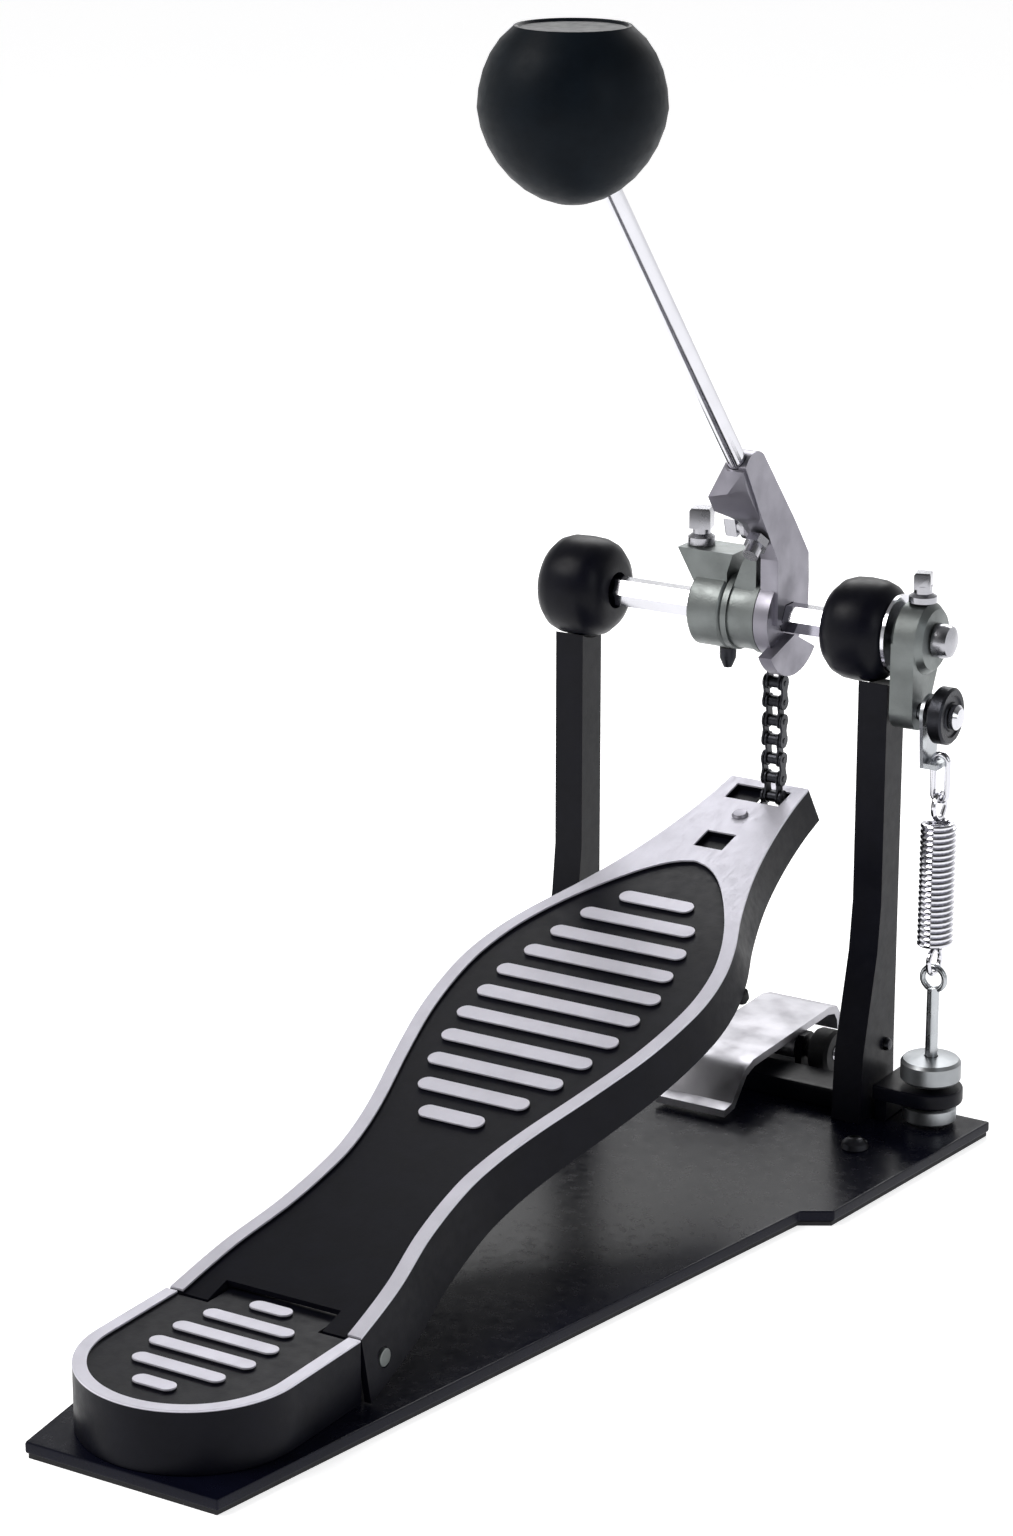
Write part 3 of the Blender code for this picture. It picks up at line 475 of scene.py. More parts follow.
def make_heel():
    heel = build("heel_plate", prism(heel_outline(0, -0.7), "Z", STAND, HEEL_TOP))
    centre = (HINGE_Y, HINGE_Z)
    tongue = [(-12, 8.0)] + arc(centre, KNUCKLE_RADIUS, -80, 92, 14) + [(-12, 26.2)]
    fuse(heel, prism(tongue, "X", -KNUCKLE_HALF, KNUCKLE_HALF))
    inner = HEEL_HALF - HEEL_RIM
    pocket = [(inner, 24), (-inner, 24)] + arc((0, -HEEL_HALF), inner, 180, 360, 24)
    cut(heel, prism(pocket, "Z", HEEL_TOP - POCKET_DEPTH, 40))
    ribs = bmesh.new()
    for index, half in enumerate(HEEL_RIB_HALVES):
        middle = HEEL_RIB_START + HEEL_RIB_PITCH * index
        outline = around((0, middle), slotted(half, RIB_WIDTH / 2 - 0.3))
        prism(outline, "Z", HEEL_TOP - POCKET_DEPTH - 1.0, HEEL_TOP - 0.05, ribs)
    fuse(heel, ribs)
    cut(heel, drum(centre, HINGE_BORE, "X", -30, 30, 20))
    soften(heel, 0.45, 50)
    pin = drum(centre, 3.0, "X", -37.4, 37.4, 20)
    soften(build("hinge_pin", pin), 0.5)


# ---------------------------------------------------------------- footboard


def tread_section(distance):
    half = lookup(TREAD_WIDTH, distance)
    depth = lookup(SKIRT_DEPTH, distance)
    foot = half + SKIRT_FLARE
    side = [(half, 0), (foot, -depth), (foot - SKIRT_WALL, -depth), (half - 1.6, -DECK)]
    other = [(-x, z) for x, z in reversed(side)]
    return [(x, distance, z) for x, z in side + other]


def tread_shell():
    mesh_data = bmesh.new()
    count = 160
    length = TREAD_END - TREAD_START
    stations = [TREAD_START + length * index / (count - 1) for index in range(count)]
    rings = []
    for distance in stations:
        rings.append([mesh_data.verts.new(point) for point in tread_section(distance)])
    for one, two in zip(rings, rings[1:]):
        join_rings(mesh_data, one, two, len(one))
    mesh_data.faces.new(rings[0])
    mesh_data.faces.new(rings[-1])
    return mesh_data


def pocket_outline():
    steps = 110
    side = []
    for index in range(steps + 1):
        share = index / steps
        distance = POCKET_START + POCKET_LENGTH * (1 - (1 - share) ** 1.35)
        side.append((lookup(POCKET_WIDTH, distance), distance))
    return side + [(-x, y) for x, y in reversed(side)]


def tread_ribs():
    mesh_data = bmesh.new()
    for index, half in enumerate(TREAD_RIB_HALVES):
        middle = TREAD_RIB_START + TREAD_RIB_PITCH * index
        outline = around((0, middle), slotted(half, RIB_WIDTH / 2))
        prism(outline, "Z", -POCKET_DEPTH - 1.0, -0.05, mesh_data)
    return mesh_data


def make_footboard():
    board = build("footboard", on_tread(tread_shell()))
    cut(board, on_tread(prism(pocket_outline(), "Z", -POCKET_DEPTH, 8)))
    fuse(board, on_tread(tread_ribs()))
    cut(board, on_tread(box((-0.8, TOE_SLOT[0], -9), (11, TOE_SLOT[1], 5))))
    cut(board, on_tread(box((-11, TOE_SLOT[0], -RECESS_DEPTH), (1, TOE_SLOT[1], 5))))
    cut(board, on_tread(box((-5.8, 285.2, -RECESS_DEPTH), (5.8, 296.2, 5))))
    cut(board, box((-60, -40, -5), (60, 0.5, 60)))
    cut(board, box((-NOTCH_HALF, -45, -8), (NOTCH_HALF, HINGE_Y, 70)))
    cut(board, drum((HINGE_Y, HINGE_Z), 9.9, "X", -NOTCH_HALF, NOTCH_HALF, 28))
    cut(board, drum((HINGE_Y, HINGE_Z), HINGE_BORE, "X", -50, 50, 20))
    cut(board, on_tread(drum(TOE_SCREW, TOE_SCREW_BORE, "Z", -9, 5, 12)))


def make_toe_parts():
    plate = on_tread(box((CHAIN_X - 6.2, 299, -6.4), (CHAIN_X + 6.2, 315, -3.8)))
    anchor = build("chain_anchor", plate)
    cheeks = bmesh.new()
    outline = [(311, -3.8), (311, -8.5), (319, -10.6), (324.5, -10.6), (326.3, -8), (326.3, -3.8)]
    for side in (-6.2, 4.3):
        prism(outline, "X", CHAIN_X + side, CHAIN_X + side + 1.9, cheeks)
    fuse(anchor, on_tread(cheeks))
    pin_at = on_tread(drum((322.4, -6.75), 1.1, "X", CHAIN_X - 5.5, CHAIN_X + 5.5, 12))
    fuse(anchor, pin_at)
    cut(anchor, on_tread(drum(TOE_SCREW, TOE_SCREW_BORE, "Z", -9, 0, 12)))
    profile = [(0, 1.5), (2.4, 1.3), (3.0, 0.5), (3.0, 0.3), (1.5, 0.3), (1.5, -8.4), (0, -8.4)]
    screw = lathe(profile, "Z", TOE_SCREW, 16)
    build("toe_screw", on_tread(screw))
    profile = [(0, -12.9), (2.4, -12.9), (2.6, -15.6), (1.6, -17.2), (0, -17.2)]
    stop = lathe(profile, "Z", (0, 0), 14)
    bmesh.ops.translate(stop, verts=stop.verts, vec=(44.1, 224.7, -0.75))
    build("skirt_stop", on_tread(stop))


# ---------------------------------------------------------------- chain


def link_plate(high, low):
    """Side plate of a chain link: two round ends with a waist between."""
    radius = LINK_RADIUS
    middle = (high + low) / 2
    top = arc((0, high), radius, -38, 218, 6)
    bottom = arc((0, low), radius, 142, 398, 6)
    return top + [(-1.75, middle)] + bottom + [(1.75, middle)]


def chain_link(index):
    high = AXLE_Z + CHAIN_PIN_Z - CHAIN_PITCH * index
    low = high - CHAIN_PITCH
    y = AXLE_Y + CHAIN_PIN_Y
    outer = index % 2
    near, far = (3.1, 4.0) if outer else (1.9, 2.8)
    outline = around((y, 0), link_plate(high, low))
    link = bmesh.new()
    for side in (-1, 1):
        spans = sorted((CHAIN_X + side * near, CHAIN_X + side * far))
        prism(outline, "X", spans[0], spans[1], link)
    last = index == CHAIN_LINKS - 1
    for height in (high, low):
        if outer and not (last and height == low):
            rivet = [(0, -4.35), (0.9, -4.3), (1.25, -3.9), (1.25, 3.9), (0.9, 4.3), (0, 4.35)]
            lathe([(r, CHAIN_X + x) for r, x in rivet], "X", (y, height), 8, link)
        if not outer:
            tube = [(1.4, -2.2), (2.1, -2.2), (2.1, 2.2), (1.4, 2.2)]
            lathe([(r, CHAIN_X + x) for r, x in tube], "X", (y, height), 8, link)
    soften(build("chain_link_%02d" % (index + 1), link), 0.15, 50)


def make_chain():
    at = (AXLE_Y + CHAIN_PIN_Y, AXLE_Z + CHAIN_PIN_Z)
    for index in range(CHAIN_LINKS):
        chain_link(index)
    pin = drum(at, 1.05, "X", -1.2, 12.7, 12)
    build("chain_pin", pin)


# ---------------------------------------------------------------- uprights


def make_post(name, middle):
    half = POST_WIDTH / 2
    rear = [(-9.4, -10), (-9.4, -96), (-11.5, -114), (-20.5, -150), (-22.0, STAND - AXLE_Z)]
    front = [(4.6, STAND - AXLE_Z), (3.9, -150), (3.9, -10)]
    return build(name, prism(axle(rear + front), "X", middle - half, middle + half))


def housing_profile(middle, inward, half):
    """Barrel round a bearing seat that opens on the outer side."""
    outer = [(6.6, half), (10.2, half), (13.8, half - 1.6), (16.6, half - 4.6), (17.8, half - 8.0)]
    outer += [(HOUSING_RADIUS, 0), (17.8, 7.0 - half), (16.6, 3.6 - half), (14.2, 1.0 - half)]
    outer += [(12.6, -half), (11.2, -half), (11.2, 2.5), (6.6, 2.5)]
    return [(radius, middle + inward * along) for radius, along in outer]


def make_uprights():
    centre = (AXLE_Y, AXLE_Z)
    for side, post_x, housing_x, inward, half in (
        ("left", LEFT_POST_X, LEFT_HOUSING_X, 1, LEFT_HOUSING_HALF),
        ("right", RIGHT_POST_X, RIGHT_HOUSING_X, -1, RIGHT_HOUSING_HALF),
    ):
        post = make_post(side + "_post", post_x)
        cut(post, drum(centre, HOUSING_RADIUS + 0.35, "X", post_x - 20, post_x + 20, 36))
        soften(post, 1.2, 40)
        shell = lathe(housing_profile(housing_x, inward, half), "X", centre, 28)
        build(side + "_housing", shell)
        low = housing_x - inward * 6.0
        high = low + inward * 7
        ring = [(4.2, low), (BEARING_RADIUS, low), (BEARING_RADIUS, high), (4.2, high)]
        build(side + "_bearing", lathe(ring, "X", centre, 24))
        bolt = [(0, 9.3), (2.6, 9.0), (4.4, 7.6), (4.8, STAND), (0, STAND)]
        build(side + "_foot_bolt", lathe(bolt, "Z", (-inward * FOOT_BOLT_X, AXLE_Y - 41), 16))
    left = LEFT_POST_X + POST_WIDTH / 2 + 0.3
    right = RIGHT_POST_X - POST_WIDTH / 2 - 0.3
    low = (left, AXLE_Y - 14, STAND)
    crossbar = build("crossbar", box(low, (right, AXLE_Y + 3, 13.2)))
    soften(crossbar, 1.2)
    side_bolt = [(0, 65.4), (1.8, 65.1), (2.4, 64.1), (2.4, 63.4), (0, 63.4)]
    at = (AXLE_Y - 3, 30.0)
    build("post_side_bolt", lathe(side_bolt, "X", at, 14))


# ---------------------------------------------------------------- axle group


def make_axle():
    centre = (AXLE_Y, AXLE_Z)
    shaft = build("shaft", drum(centre, JOURNAL_RADIUS, "X", -71, 81.4, 24))
    fuse(shaft, prism(circle(centre, HEX_RADIUS, 6, 0.0), "X", -58.5, 47.5))
    ring = [(5.4, 61.9), (13.9, 61.9), (13.9, 63.1), (5.4, 63.1)]
    build("thrust_washer", lathe(ring, "X", centre, 28))
    profile = [(4.3, 77.2), (6.0, 77.2), (6.0, 80.4), (5.3, 82.3), (3.2, 83.3), (0, 83.6)]
    profile += [(0, 81.9), (4.3, 81.9)]
    nut = lathe(profile, "X", centre, 18)
    build("shaft_nut", nut)


def hex_bore(low, high):
    return prism(circle((AXLE_Y, AXLE_Z), HEX_RADIUS + 0.28, 6, 0.0), "X", low, high)


def cam_outline():
    """Drum that is smaller where the chain hangs in front of it."""
    front = arc((0, 0), 12.5, -78, 78, 10)
    rear = arc((0, 0), HUB_RADIUS - 0.8, 84, 276, 12)
    return axle(front + rear)


def make_drive_cam():
    cam = build("drive_cam", prism(cam_outline(), "X", -0.2, 11.9))
    cheeks = bmesh.new()
    nose = arc((CHAIN_PIN_Y, CHAIN_PIN_Z), 3.7, -62, 102, 9)
    rear = arc((0, 0), HUB_RADIUS, 70, 318, 16)
    for low, high in ((-0.6, 1.6), (10.4, 12.3)):
        prism(axle(nose + rear), "X", low, high, cheeks)
    fuse(cam, cheeks)
    web = [(1.2, 9), (10.6, 9), (10.6, 26), (9.0, 25), (5.0, 19.5)]
    web = [(x, AXLE_Z + z) for x, z in web]
    fuse(cam, prism(web, "Y", AXLE_Y - 8.5, AXLE_Y + 1.5))
    cut(cam, hex_bore(-5, 15))
    pin = (AXLE_Y + CHAIN_PIN_Y, AXLE_Z + CHAIN_PIN_Z)
    cut(cam, drum(pin, 1.25, "X", -5, 15, 12))


def key_bolt(name, centre, axis, low, high, size=7.0):
    """Square-headed drum key bolt with a round collar, pointing along an axis."""
    reach = high - low
    profile = [(0, low), (4.9, low), (4.9, low + reach * 0.2), (3.2, low + reach * 0.3)]
    profile += [(3.2, low + reach * 0.55), (0, low + reach * 0.55)]
    bolt = build(name, lathe(profile, axis, centre, 18))
    turn = math.radians(62)
    square = bmesh.new()
    rings = []
    for share, along in ((0.707, 0.45), (0.707, 0.93), (0.6, 1.0)):
        flat = circle(centre, size * share, 4, turn)
        rings.append([square.verts.new(place(axis, a, b, low + reach * along)) for a, b in flat])
    join_rings(square, rings[0], rings[1], 4)
    join_rings(square, rings[1], rings[2], 4)
    square.faces.new(rings[0])
    square.faces.new(rings[2])
    fuse(bolt, square)


def make_collar():
    centre = (AXLE_Y, AXLE_Z)
    profile = [(0, -14.8), (12.4, -14.8), (HUB_RADIUS, -13.6), (HUB_RADIUS, -2.2), (12.8, -1.1), (0, -1.1)]
    collar = build("adjuster_collar", lathe(profile, "X", centre, 24))
    ear = [(-13.6, 8), (-1.5, 8), (-1.5, 14.8), (0.8, 21.6), (-21.4, 21.6)]
    ear = [(x, AXLE_Z + z) for x, z in ear]
    fuse(collar, prism(ear, "Y", AXLE_Y - 7.5, AXLE_Y + 7.5))
    cut(collar, hex_bore(-25, 2))
    soften(collar, 0.7, 42)
    top = AXLE_Z + 21.9
    key_bolt("collar_bolt", (-15.9, AXLE_Y), "Z", top, top + 13.2, 7.6)
    profile = [(0, -14.4), (3.0, -14.4), (3.0, -18.0), (1.5, -21.6), (0, -21.6)]
    spur = [(radius, AXLE_Z + along) for radius, along in profile]
    build("collar_spur", lathe(spur, "Z", (-4.6, AXLE_Y), 14))


def rod_clamp():
    """Block around the rod, with a lump to the left that carries the clamping thread."""
    block = bmesh.new()
    rings = []
    for distance, outline in CLAMP_SECTIONS:
        rings.append([block.verts.new(point) for point in rod_section(distance, outline)])
    for one, two in zip(rings, rings[1:]):
        join_rings(block, one, two, len(one))
    block.faces.new(rings[0])
    block.faces.new(rings[-1])
    return block


def make_holder():
    arm = [(-8.5, -1.5), (14.0, -1.5), (14.4, 10), (13.8, 20.5), (2.4, 35.1)]
    arm += arc((-26.5, 56.0), 8.4, 36, 152, 7) + [(-21.5, 40), (-9.0, 22)]
    holder = build("beater_holder", prism(axle(arm), "X", 12.6, 19.5))
    fuse(holder, rod_clamp())
    spot = rod_point(43)
    fuse(holder, drum((spot[1], spot[2]), 5.2, "X", 7.8, 14.0, 20))
    fuse(holder, drum((AXLE_Y, AXLE_Z), HUB_RADIUS, "X", 12.62, 18.2, 30))
    lobe = [(0, -6)] + arc((0, 0), 20.6, -148, -42, 14)
    fuse(holder, prism(axle(lobe), "X", 16.8, 21.9))
    cut(holder, hex_bore(5, 30))
    cut(holder, bar(rod_point(22), rod_point(130), ROD_RADIUS + 0.22, 20))
    cut(holder, drum((spot[1], spot[2]), 2.4, "X", 4, ROD_X - 1.5, 16))
    soften(holder, 0.6, 42)
    key_bolt("rod_key_bolt", (spot[1], spot[2]), "X", 7.5, -1.2, 7.0)
    inner = rod_point(47)
    back = Vector((0, -math.cos(ROD_LEAN), -math.sin(ROD_LEAN)))
    foot = Vector((15.4, inner[1], inner[2])) + back * 8.1
    stop = build("rod_stop_bolt", bar(foot, foot + back * 3.2, 4.4, 6))
    fuse(stop, bar(foot + back * 2.8, foot + back * 7.4, 2.8, 14))


def make_beater():
    length = bar(rod_point(ROD_LOW), rod_point(HEAD_DISTANCE + 2.5), ROD_RADIUS, 20)
    rod = build("beater_rod", length)
    soften(rod, 0.6)
    centre = rod_point(HEAD_DISTANCE)
    profile = [(0, -HEAD_RADIUS)]
    top_angle = math.degrees(math.asin(HEAD_FLAT / HEAD_RADIUS))
    steps = 13
    for index in range(1, steps + 1):
        angle = math.radians(-90 + (90 + top_angle) * index / steps)
        if angle > 0:
            radius = HEAD_RADIUS * math.cos(angle) ** HEAD_FULLNESS
        else:
            radius = HEAD_RADIUS * math.cos(angle) * (1 + HEAD_TAPER * math.sin(angle))
        profile.append((radius, HEAD_RADIUS * math.sin(angle)))
    profile += [(18.2, 25.6), (17.2, 25.6), (16.4, 24.8), (0, 24.6)]
    profile = [(radius, centre[2] + along) for radius, along in profile]
    head = build("beater_head", lathe(profile, "Z", (centre[0], centre[1]), 30))
    socket = bar(rod_point(200), rod_point(HEAD_DISTANCE + 3.5), ROD_RADIUS + 0.25, 20)
    cut(head, socket)


# ---------------------------------------------------------------- spring side


def make_rocker():
    centre = (AXLE_Y, AXLE_Z)
    profile = [(0, 64.8), (11.4, 64.8), (12.6, 66.1), (12.6, 74.2), (10.6, 76.4), (0, 76.8)]
    rocker = build("rocker", lathe(profile, "X", centre, 24))
    lever = arc((PIN_Y, PIN_Z), 6.6, 170, 358, 12) + [(9.5, -6), (9.5, 0), (-12.5, 0), (-12.5, -5)]
    fuse(rocker, prism(axle(lever), "X", 65.4, 74.2))
    cut(rocker, drum(centre, JOURNAL_RADIUS + 0.25, "X", 55, 85, 20))
    pin_centre = axle([(PIN_Y, PIN_Z)])[0]
    cut(rocker, drum(pin_centre, 3.1, "X", 60, 80, 16))
    soften(rocker, 0.7, 42)
    top = AXLE_Z + 12.9
    key_bolt("rocker_key_bolt", (71.0, AXLE_Y), "Z", top, top + 10.4, 5.8)
    profile = [(0, 65.6), (2.8, 65.6), (2.8, 86.8), (4.4, 86.8), (4.4, 88.4), (3.2, 89.6), (0, 90.0)]
    build("rocker_pin", lathe(profile, "X", pin_centre, 18))


def make_roller():
    pin_centre = axle([(PIN_Y, PIN_Z)])[0]
    profile = [(3.15, 79.0), (4.8, 79.0), (5.2, 80.9), (8.6, 81.1), (9.2, 81.0), (10.0, 81.7)]
    profile += [(10.0, 85.8), (9.2, 86.5), (7.4, 86.5), (6.9, 85.9), (5.2, 85.9), (4.8, 86.5)]
    profile += [(3.15, 86.5)]
    build("spring_roller", lathe(profile, "X", pin_centre, 28))
    plate = arc((PIN_Y, PIN_Z), 6.8, -20, 200, 12) + [(PIN_Y - 5.2, -43.0), (PIN_Y + 5.2, -43.0)]
    stirrup = build("spring_stirrup", prism(axle(plate), "X", 77.1, 78.4))
    low = (77.1, AXLE_Y + PIN_Y - 5.2, AXLE_Z - 43.0)
    high = (83.6, AXLE_Y + PIN_Y + 5.2, AXLE_Z - 41.2)
    fuse(stirrup, box(low, high))
    cut(stirrup, drum(pin_centre, 3.15, "X", 70, 90, 16))
    low = (78.65, AXLE_Y + PIN_Y - 3.2, AXLE_Z - 50)
    cut(stirrup, box(low, (81.3, AXLE_Y + PIN_Y + 3.2, AXLE_Z - 38)))


def make_hook():
    y = AXLE_Y + PIN_Y
    top = AXLE_Z - 38.6 - HOOK_RADIUS
    low = AXLE_Z - 55.2 + HOOK_RADIUS
    path = [(SPRING_X + a, y, top + b) for a, b in arc((0, 0), HOOK_RADIUS, 0, 180, 8)]
    path += [(SPRING_X + a, y, low + b) for a, b in arc((0, 0), HOOK_RADIUS, 180, 360, 8)]
    build("spring_hook", closed_wire(path, HOOK_WIRE))


def ring_path(centre, radius):
    """Points of an upright ring that faces forward."""
    return [(centre[0] + a, centre[1], centre[2] + b) for a, b in circle((0, 0), radius, 14)]


def sweep(path, radius, sides):
    """A round wire along any smooth path."""
    mesh_data = bmesh.new()
    count = len(path)
    normal = None
    rings = []
    for index in range(count):
        forward = path[min(index + 1, count - 1)] - path[max(index - 1, 0)]
        forward.normalize()
        if normal is None:
            normal = forward.orthogonal()
        normal = (normal - forward * normal.dot(forward)).normalized()
        side = forward.cross(normal)
        ring = []
        for step in range(sides):
            angle = 2 * math.pi * step / sides
            offset = normal * math.cos(angle) + side * math.sin(angle)
            ring.append(mesh_data.verts.new(path[index] + offset * radius))
        rings.append(ring)
    for one, two in zip(rings, rings[1:]):
        join_rings(mesh_data, one, two, sides)
    mesh_data.faces.new(rings[0])
    mesh_data.faces.new(rings[-1])
    return mesh_data


def loop_end(middle, up):
    """Hook loop at one end of the spring and the wire that leads into the coil."""
    points = []
    for step in range(LOOP_STEPS + 1):
        angle = math.radians(70 + 320 * step / LOOP_STEPS)
        across = LOOP_RADIUS * math.cos(angle)
        along = -LOOP_RADIUS * math.sin(angle) * up
        points.append(Vector((0, across, middle + along)))
    return points


def make_spring():
    """Close-wound extension spring with a loop at each end, as one wire."""
    radius = COIL_RADIUS - WIRE_RADIUS
    turns = (COIL_TOP - COIL_LOW - 2 * WIRE_RADIUS) / (2 * WIRE_RADIUS + 0.05)
    steps = int(turns * 24)
    coil = []
    for step in range(steps + 1):
        share = step / steps
        angle = 2 * math.pi * turns * share
        # The end turns are narrower, where the wire comes in from the loops
        ease = min(1.0, 2.0 * min(share, 1 - share) * turns + 0.35)
        height = COIL_LOW + WIRE_RADIUS + (COIL_TOP - COIL_LOW - 2 * WIRE_RADIUS) * share
        coil.append(Vector((radius * ease * math.cos(angle), radius * ease * math.sin(angle), height)))
    low = loop_end(LOW_LOOP_Z, -1)
    high = loop_end(HIGH_LOOP_Z, 1)
    path = low + coil + list(reversed(high))
    smooth = []
    for index in range(len(path)):
        near = [path[max(index - 1, 0)], path[index], path[min(index + 1, len(path) - 1)]]
        smooth.append((near[0] + near[1] * 2 + near[2]) / 4)
    middle = Vector((SPRING_X, AXLE_Y + PIN_Y, 0))
    build("spring", sweep([point + middle for point in smooth], WIRE_RADIUS, 10))


def make_tensioner():
    y = AXLE_Y + PIN_Y
    at = (SPRING_X, y)
    rod = build("tension_rod", drum(at, 2.2, "Z", 8.0, AXLE_Z - 124.0, 18))
    eye = (SPRING_X, y, AXLE_Z - 120.5)
    fuse(rod, closed_wire(ring_path(eye, EYE_RADIUS), HOOK_WIRE))
    profile = [(2.5, 20.0), (4.2, 20.0), (9.6, 21.5), (10.7, 22.6), (10.7, 28.4), (9.8, 29.6), (4.6, 30.4)]
    profile += [(2.5, 30.4)]
    build("tension_nut", lathe(profile, "Z", at, 32))
    profile = [(2.5, 6.7), (8.6, 6.7), (9.5, 7.5), (9.5, 12.0), (8.8, 12.8), (5.0, 13.1), (2.5, 13.1)]
    build("swivel_boss", lathe(profile, "Z", at, 28))
    outline = [(65.2, -17)] + arc((SPRING_X, PIN_Y), 11.6, -90, 90, 8) + [(65.2, 5)]
    outline = around((0, AXLE_Y), outline)
    ear = build("spring_ear", prism(outline, "Z", 14.0, 19.4))
    leg = box((65.2, AXLE_Y - 15, STAND), (69.8, AXLE_Y + 3.5, 16.5))
    fuse(ear, leg)
    cut(ear, drum(at, 3.4, "Z", 10, 25, 20))
    soften(ear, 0.8)


# ---------------------------------------------------------------- hoop clamp


def make_clamp():
    outer = [(-44, 9.6), (-38.5, 10.4), (-30, 19.6), (-23, 22.0), (36, 23.0), (42, 21.6), (45.4, 17)]
    outer += [(46, 12.0)]
    inner = [(42.8, 12.0), (42.2, 16), (40, 19.0), (35, 20.2), (-22, 19.0), (-28, 17.2), (-36.6, 7.8)]
    inner += [(-44, 6.9)]
    outline = around((AXLE_Y, 0), outer + inner)
    jaw = build("hoop_jaw", prism(outline, "X", JAW_LOW_X, JAW_HIGH_X))
    pad = build("hoop_pad", box((-6, AXLE_Y + 25.8, 5.8), (20, AXLE_Y + 43.5, 7.3)))
    soften(pad, 0.4)
    centre = (AXLE_Y + JAW_PIN_Y, JAW_PIN_Z)
    fuse(jaw, drum(centre, 5.0, "X", JAW_LOW_X + 0.5, JAW_HIGH_X - 0.5, 20))
    cut(jaw, drum(centre, 2.9, "X", -20, 40, 18))
    soften(jaw, 0.6, 35)
    build("jaw_pin", drum(centre, 2.55, "X", -9.9, 24.0, 16))
    floor = box((-9.7, AXLE_Y + 8.5, STAND), (23.7, AXLE_Y + 24, 8.2))
    bracket = build("jaw_bracket", floor)
    cheeks = bmesh.new()
    side = [(8.5, STAND), (24, STAND), (20.5, 17.5), (17, 20.2), (11, 20.2), (8.5, 17.5)]
    for low, high in ((-9.7, -7.3), (21.3, 23.7)):
        prism(around((AXLE_Y, 0), side), "X", low, high, cheeks)
    fuse(bracket, cheeks)
    cut(bracket, drum(centre, 2.8, "X", -20, 40, 16))
    profile = [(0, 24.6), (4.0, 24.6), (4.0, 26.6), (7.6, 27.4), (8.2, 28.6), (8.2, 34.0), (7.2, 35.2)]
    profile += [(3.2, 35.2), (3.2, 33.6), (0, 33.6)]
    build("clamp_knob", lathe(profile, "X", centre, 24))
    profile = [(0, 33.8), (2.9, 33.8), (2.9, 35.4), (2.0, 36.2), (0, 36.4)]
    build("knob_screw", lathe(profile, "X", centre, 14))


# ---------------------------------------------------------------- finishes


class Finish:
    """A Principled material with helpers for patterns measured in the row frame."""

    def __init__(self, name, metallic=0.0, specular=0.5):
        self.material = bpy.data.materials.new(name)
        self.material.use_nodes = True
        self.nodes = self.material.node_tree.nodes
        self.links = self.material.node_tree.links
        self.shader = self.nodes["Principled BSDF"]
        self.shader.inputs["Metallic"].default_value = metallic
        self.shader.inputs["Specular IOR Level"].default_value = specular
        self.place = self.nodes.new("ShaderNodeTexCoord").outputs["Object"]
        self.height = None

    def link(self, output, target):
        self.links.new(output, target)

    def stretched(self, scale):
        node = self.nodes.new("ShaderNodeMapping")
        node.inputs["Scale"].default_value = scale
        self.link(self.place, node.inputs["Vector"])
        return node.outputs["Vector"]

    def noise(self, scale, detail=3.0, stretch=None, roughness=0.55):
        node = self.nodes.new("ShaderNodeTexNoise")
        node.inputs["Scale"].default_value = scale
        node.inputs["Detail"].default_value = detail
        node.inputs["Roughness"].default_value = roughness
        self.link(self.stretched(stretch) if stretch else self.place, node.inputs["Vector"])
        return node.outputs["Fac"]

    def spread(self, value, low, high, from_low=0.3, from_high=0.7):
        node = self.nodes.new("ShaderNodeMapRange")
        node.inputs["From Min"].default_value = from_low
        node.inputs["From Max"].default_value = from_high
        node.inputs["To Min"].default_value = low
        node.inputs["To Max"].default_value = high
        self.link(value, node.inputs["Value"])
        return node.outputs["Result"]

    def mix(self, factor, one, two):
        node = self.nodes.new("ShaderNodeMix")
        node.data_type = "RGBA"
        self.link(factor, node.inputs["Factor"])
        for value, socket in ((one, node.inputs[6]), (two, node.inputs[7])):
            if isinstance(value, tuple):
                socket.default_value = (*value, 1.0)
            else:
                self.link(value, socket)
        return node.outputs[2]

    def blend(self, factor, one, two):
        """Mixes two numbers, each a value or a socket."""
        node = self.nodes.new("ShaderNodeMix")
        self.link(factor, node.inputs["Factor"])
        for value, socket in ((one, node.inputs[2]), (two, node.inputs[3])):
            if isinstance(value, float):
                socket.default_value = value
            else:
                self.link(value, socket)
        return node.outputs[0]

    def bump(self, value, strength, distance):
        node = self.nodes.new("ShaderNodeBump")
        node.inputs["Strength"].default_value = strength
        node.inputs["Distance"].default_value = distance
        self.link(value, node.inputs["Height"])
        if self.height:
            self.link(self.height, node.inputs["Normal"])
        self.height = node.outputs["Normal"]
        self.link(self.height, self.shader.inputs["Normal"])

    def colour(self, output):
        self.link(output, self.shader.inputs["Base Color"])

    def roughness(self, output):
        self.link(output, self.shader.inputs["Roughness"])

    def metallic(self, output):
        self.link(output, self.shader.inputs["Metallic"])


def shade(colour, factor):
    return tuple(channel * factor for channel in colour)


def painted(name, colour, rough, grain=900.0, depth=0.00008, specular=0.35):
    """Powder coat or moulded skin: fine orange peel, faint clouding, slightly uneven gloss."""
    finish = Finish(name, specular=specular)
    cloud = finish.noise(90.0, 4.0)
    base = finish.mix(finish.spread(cloud, 0.0, 1.0), shade(colour, 0.8), shade(colour, 1.2))
    finish.colour(base)
    patch = finish.noise(260.0, 5.0)
    finish.roughness(finish.spread(patch, rough - 0.05, rough + 0.06))
    finish.bump(finish.noise(grain, 2.0), 0.3, depth)
    return finish


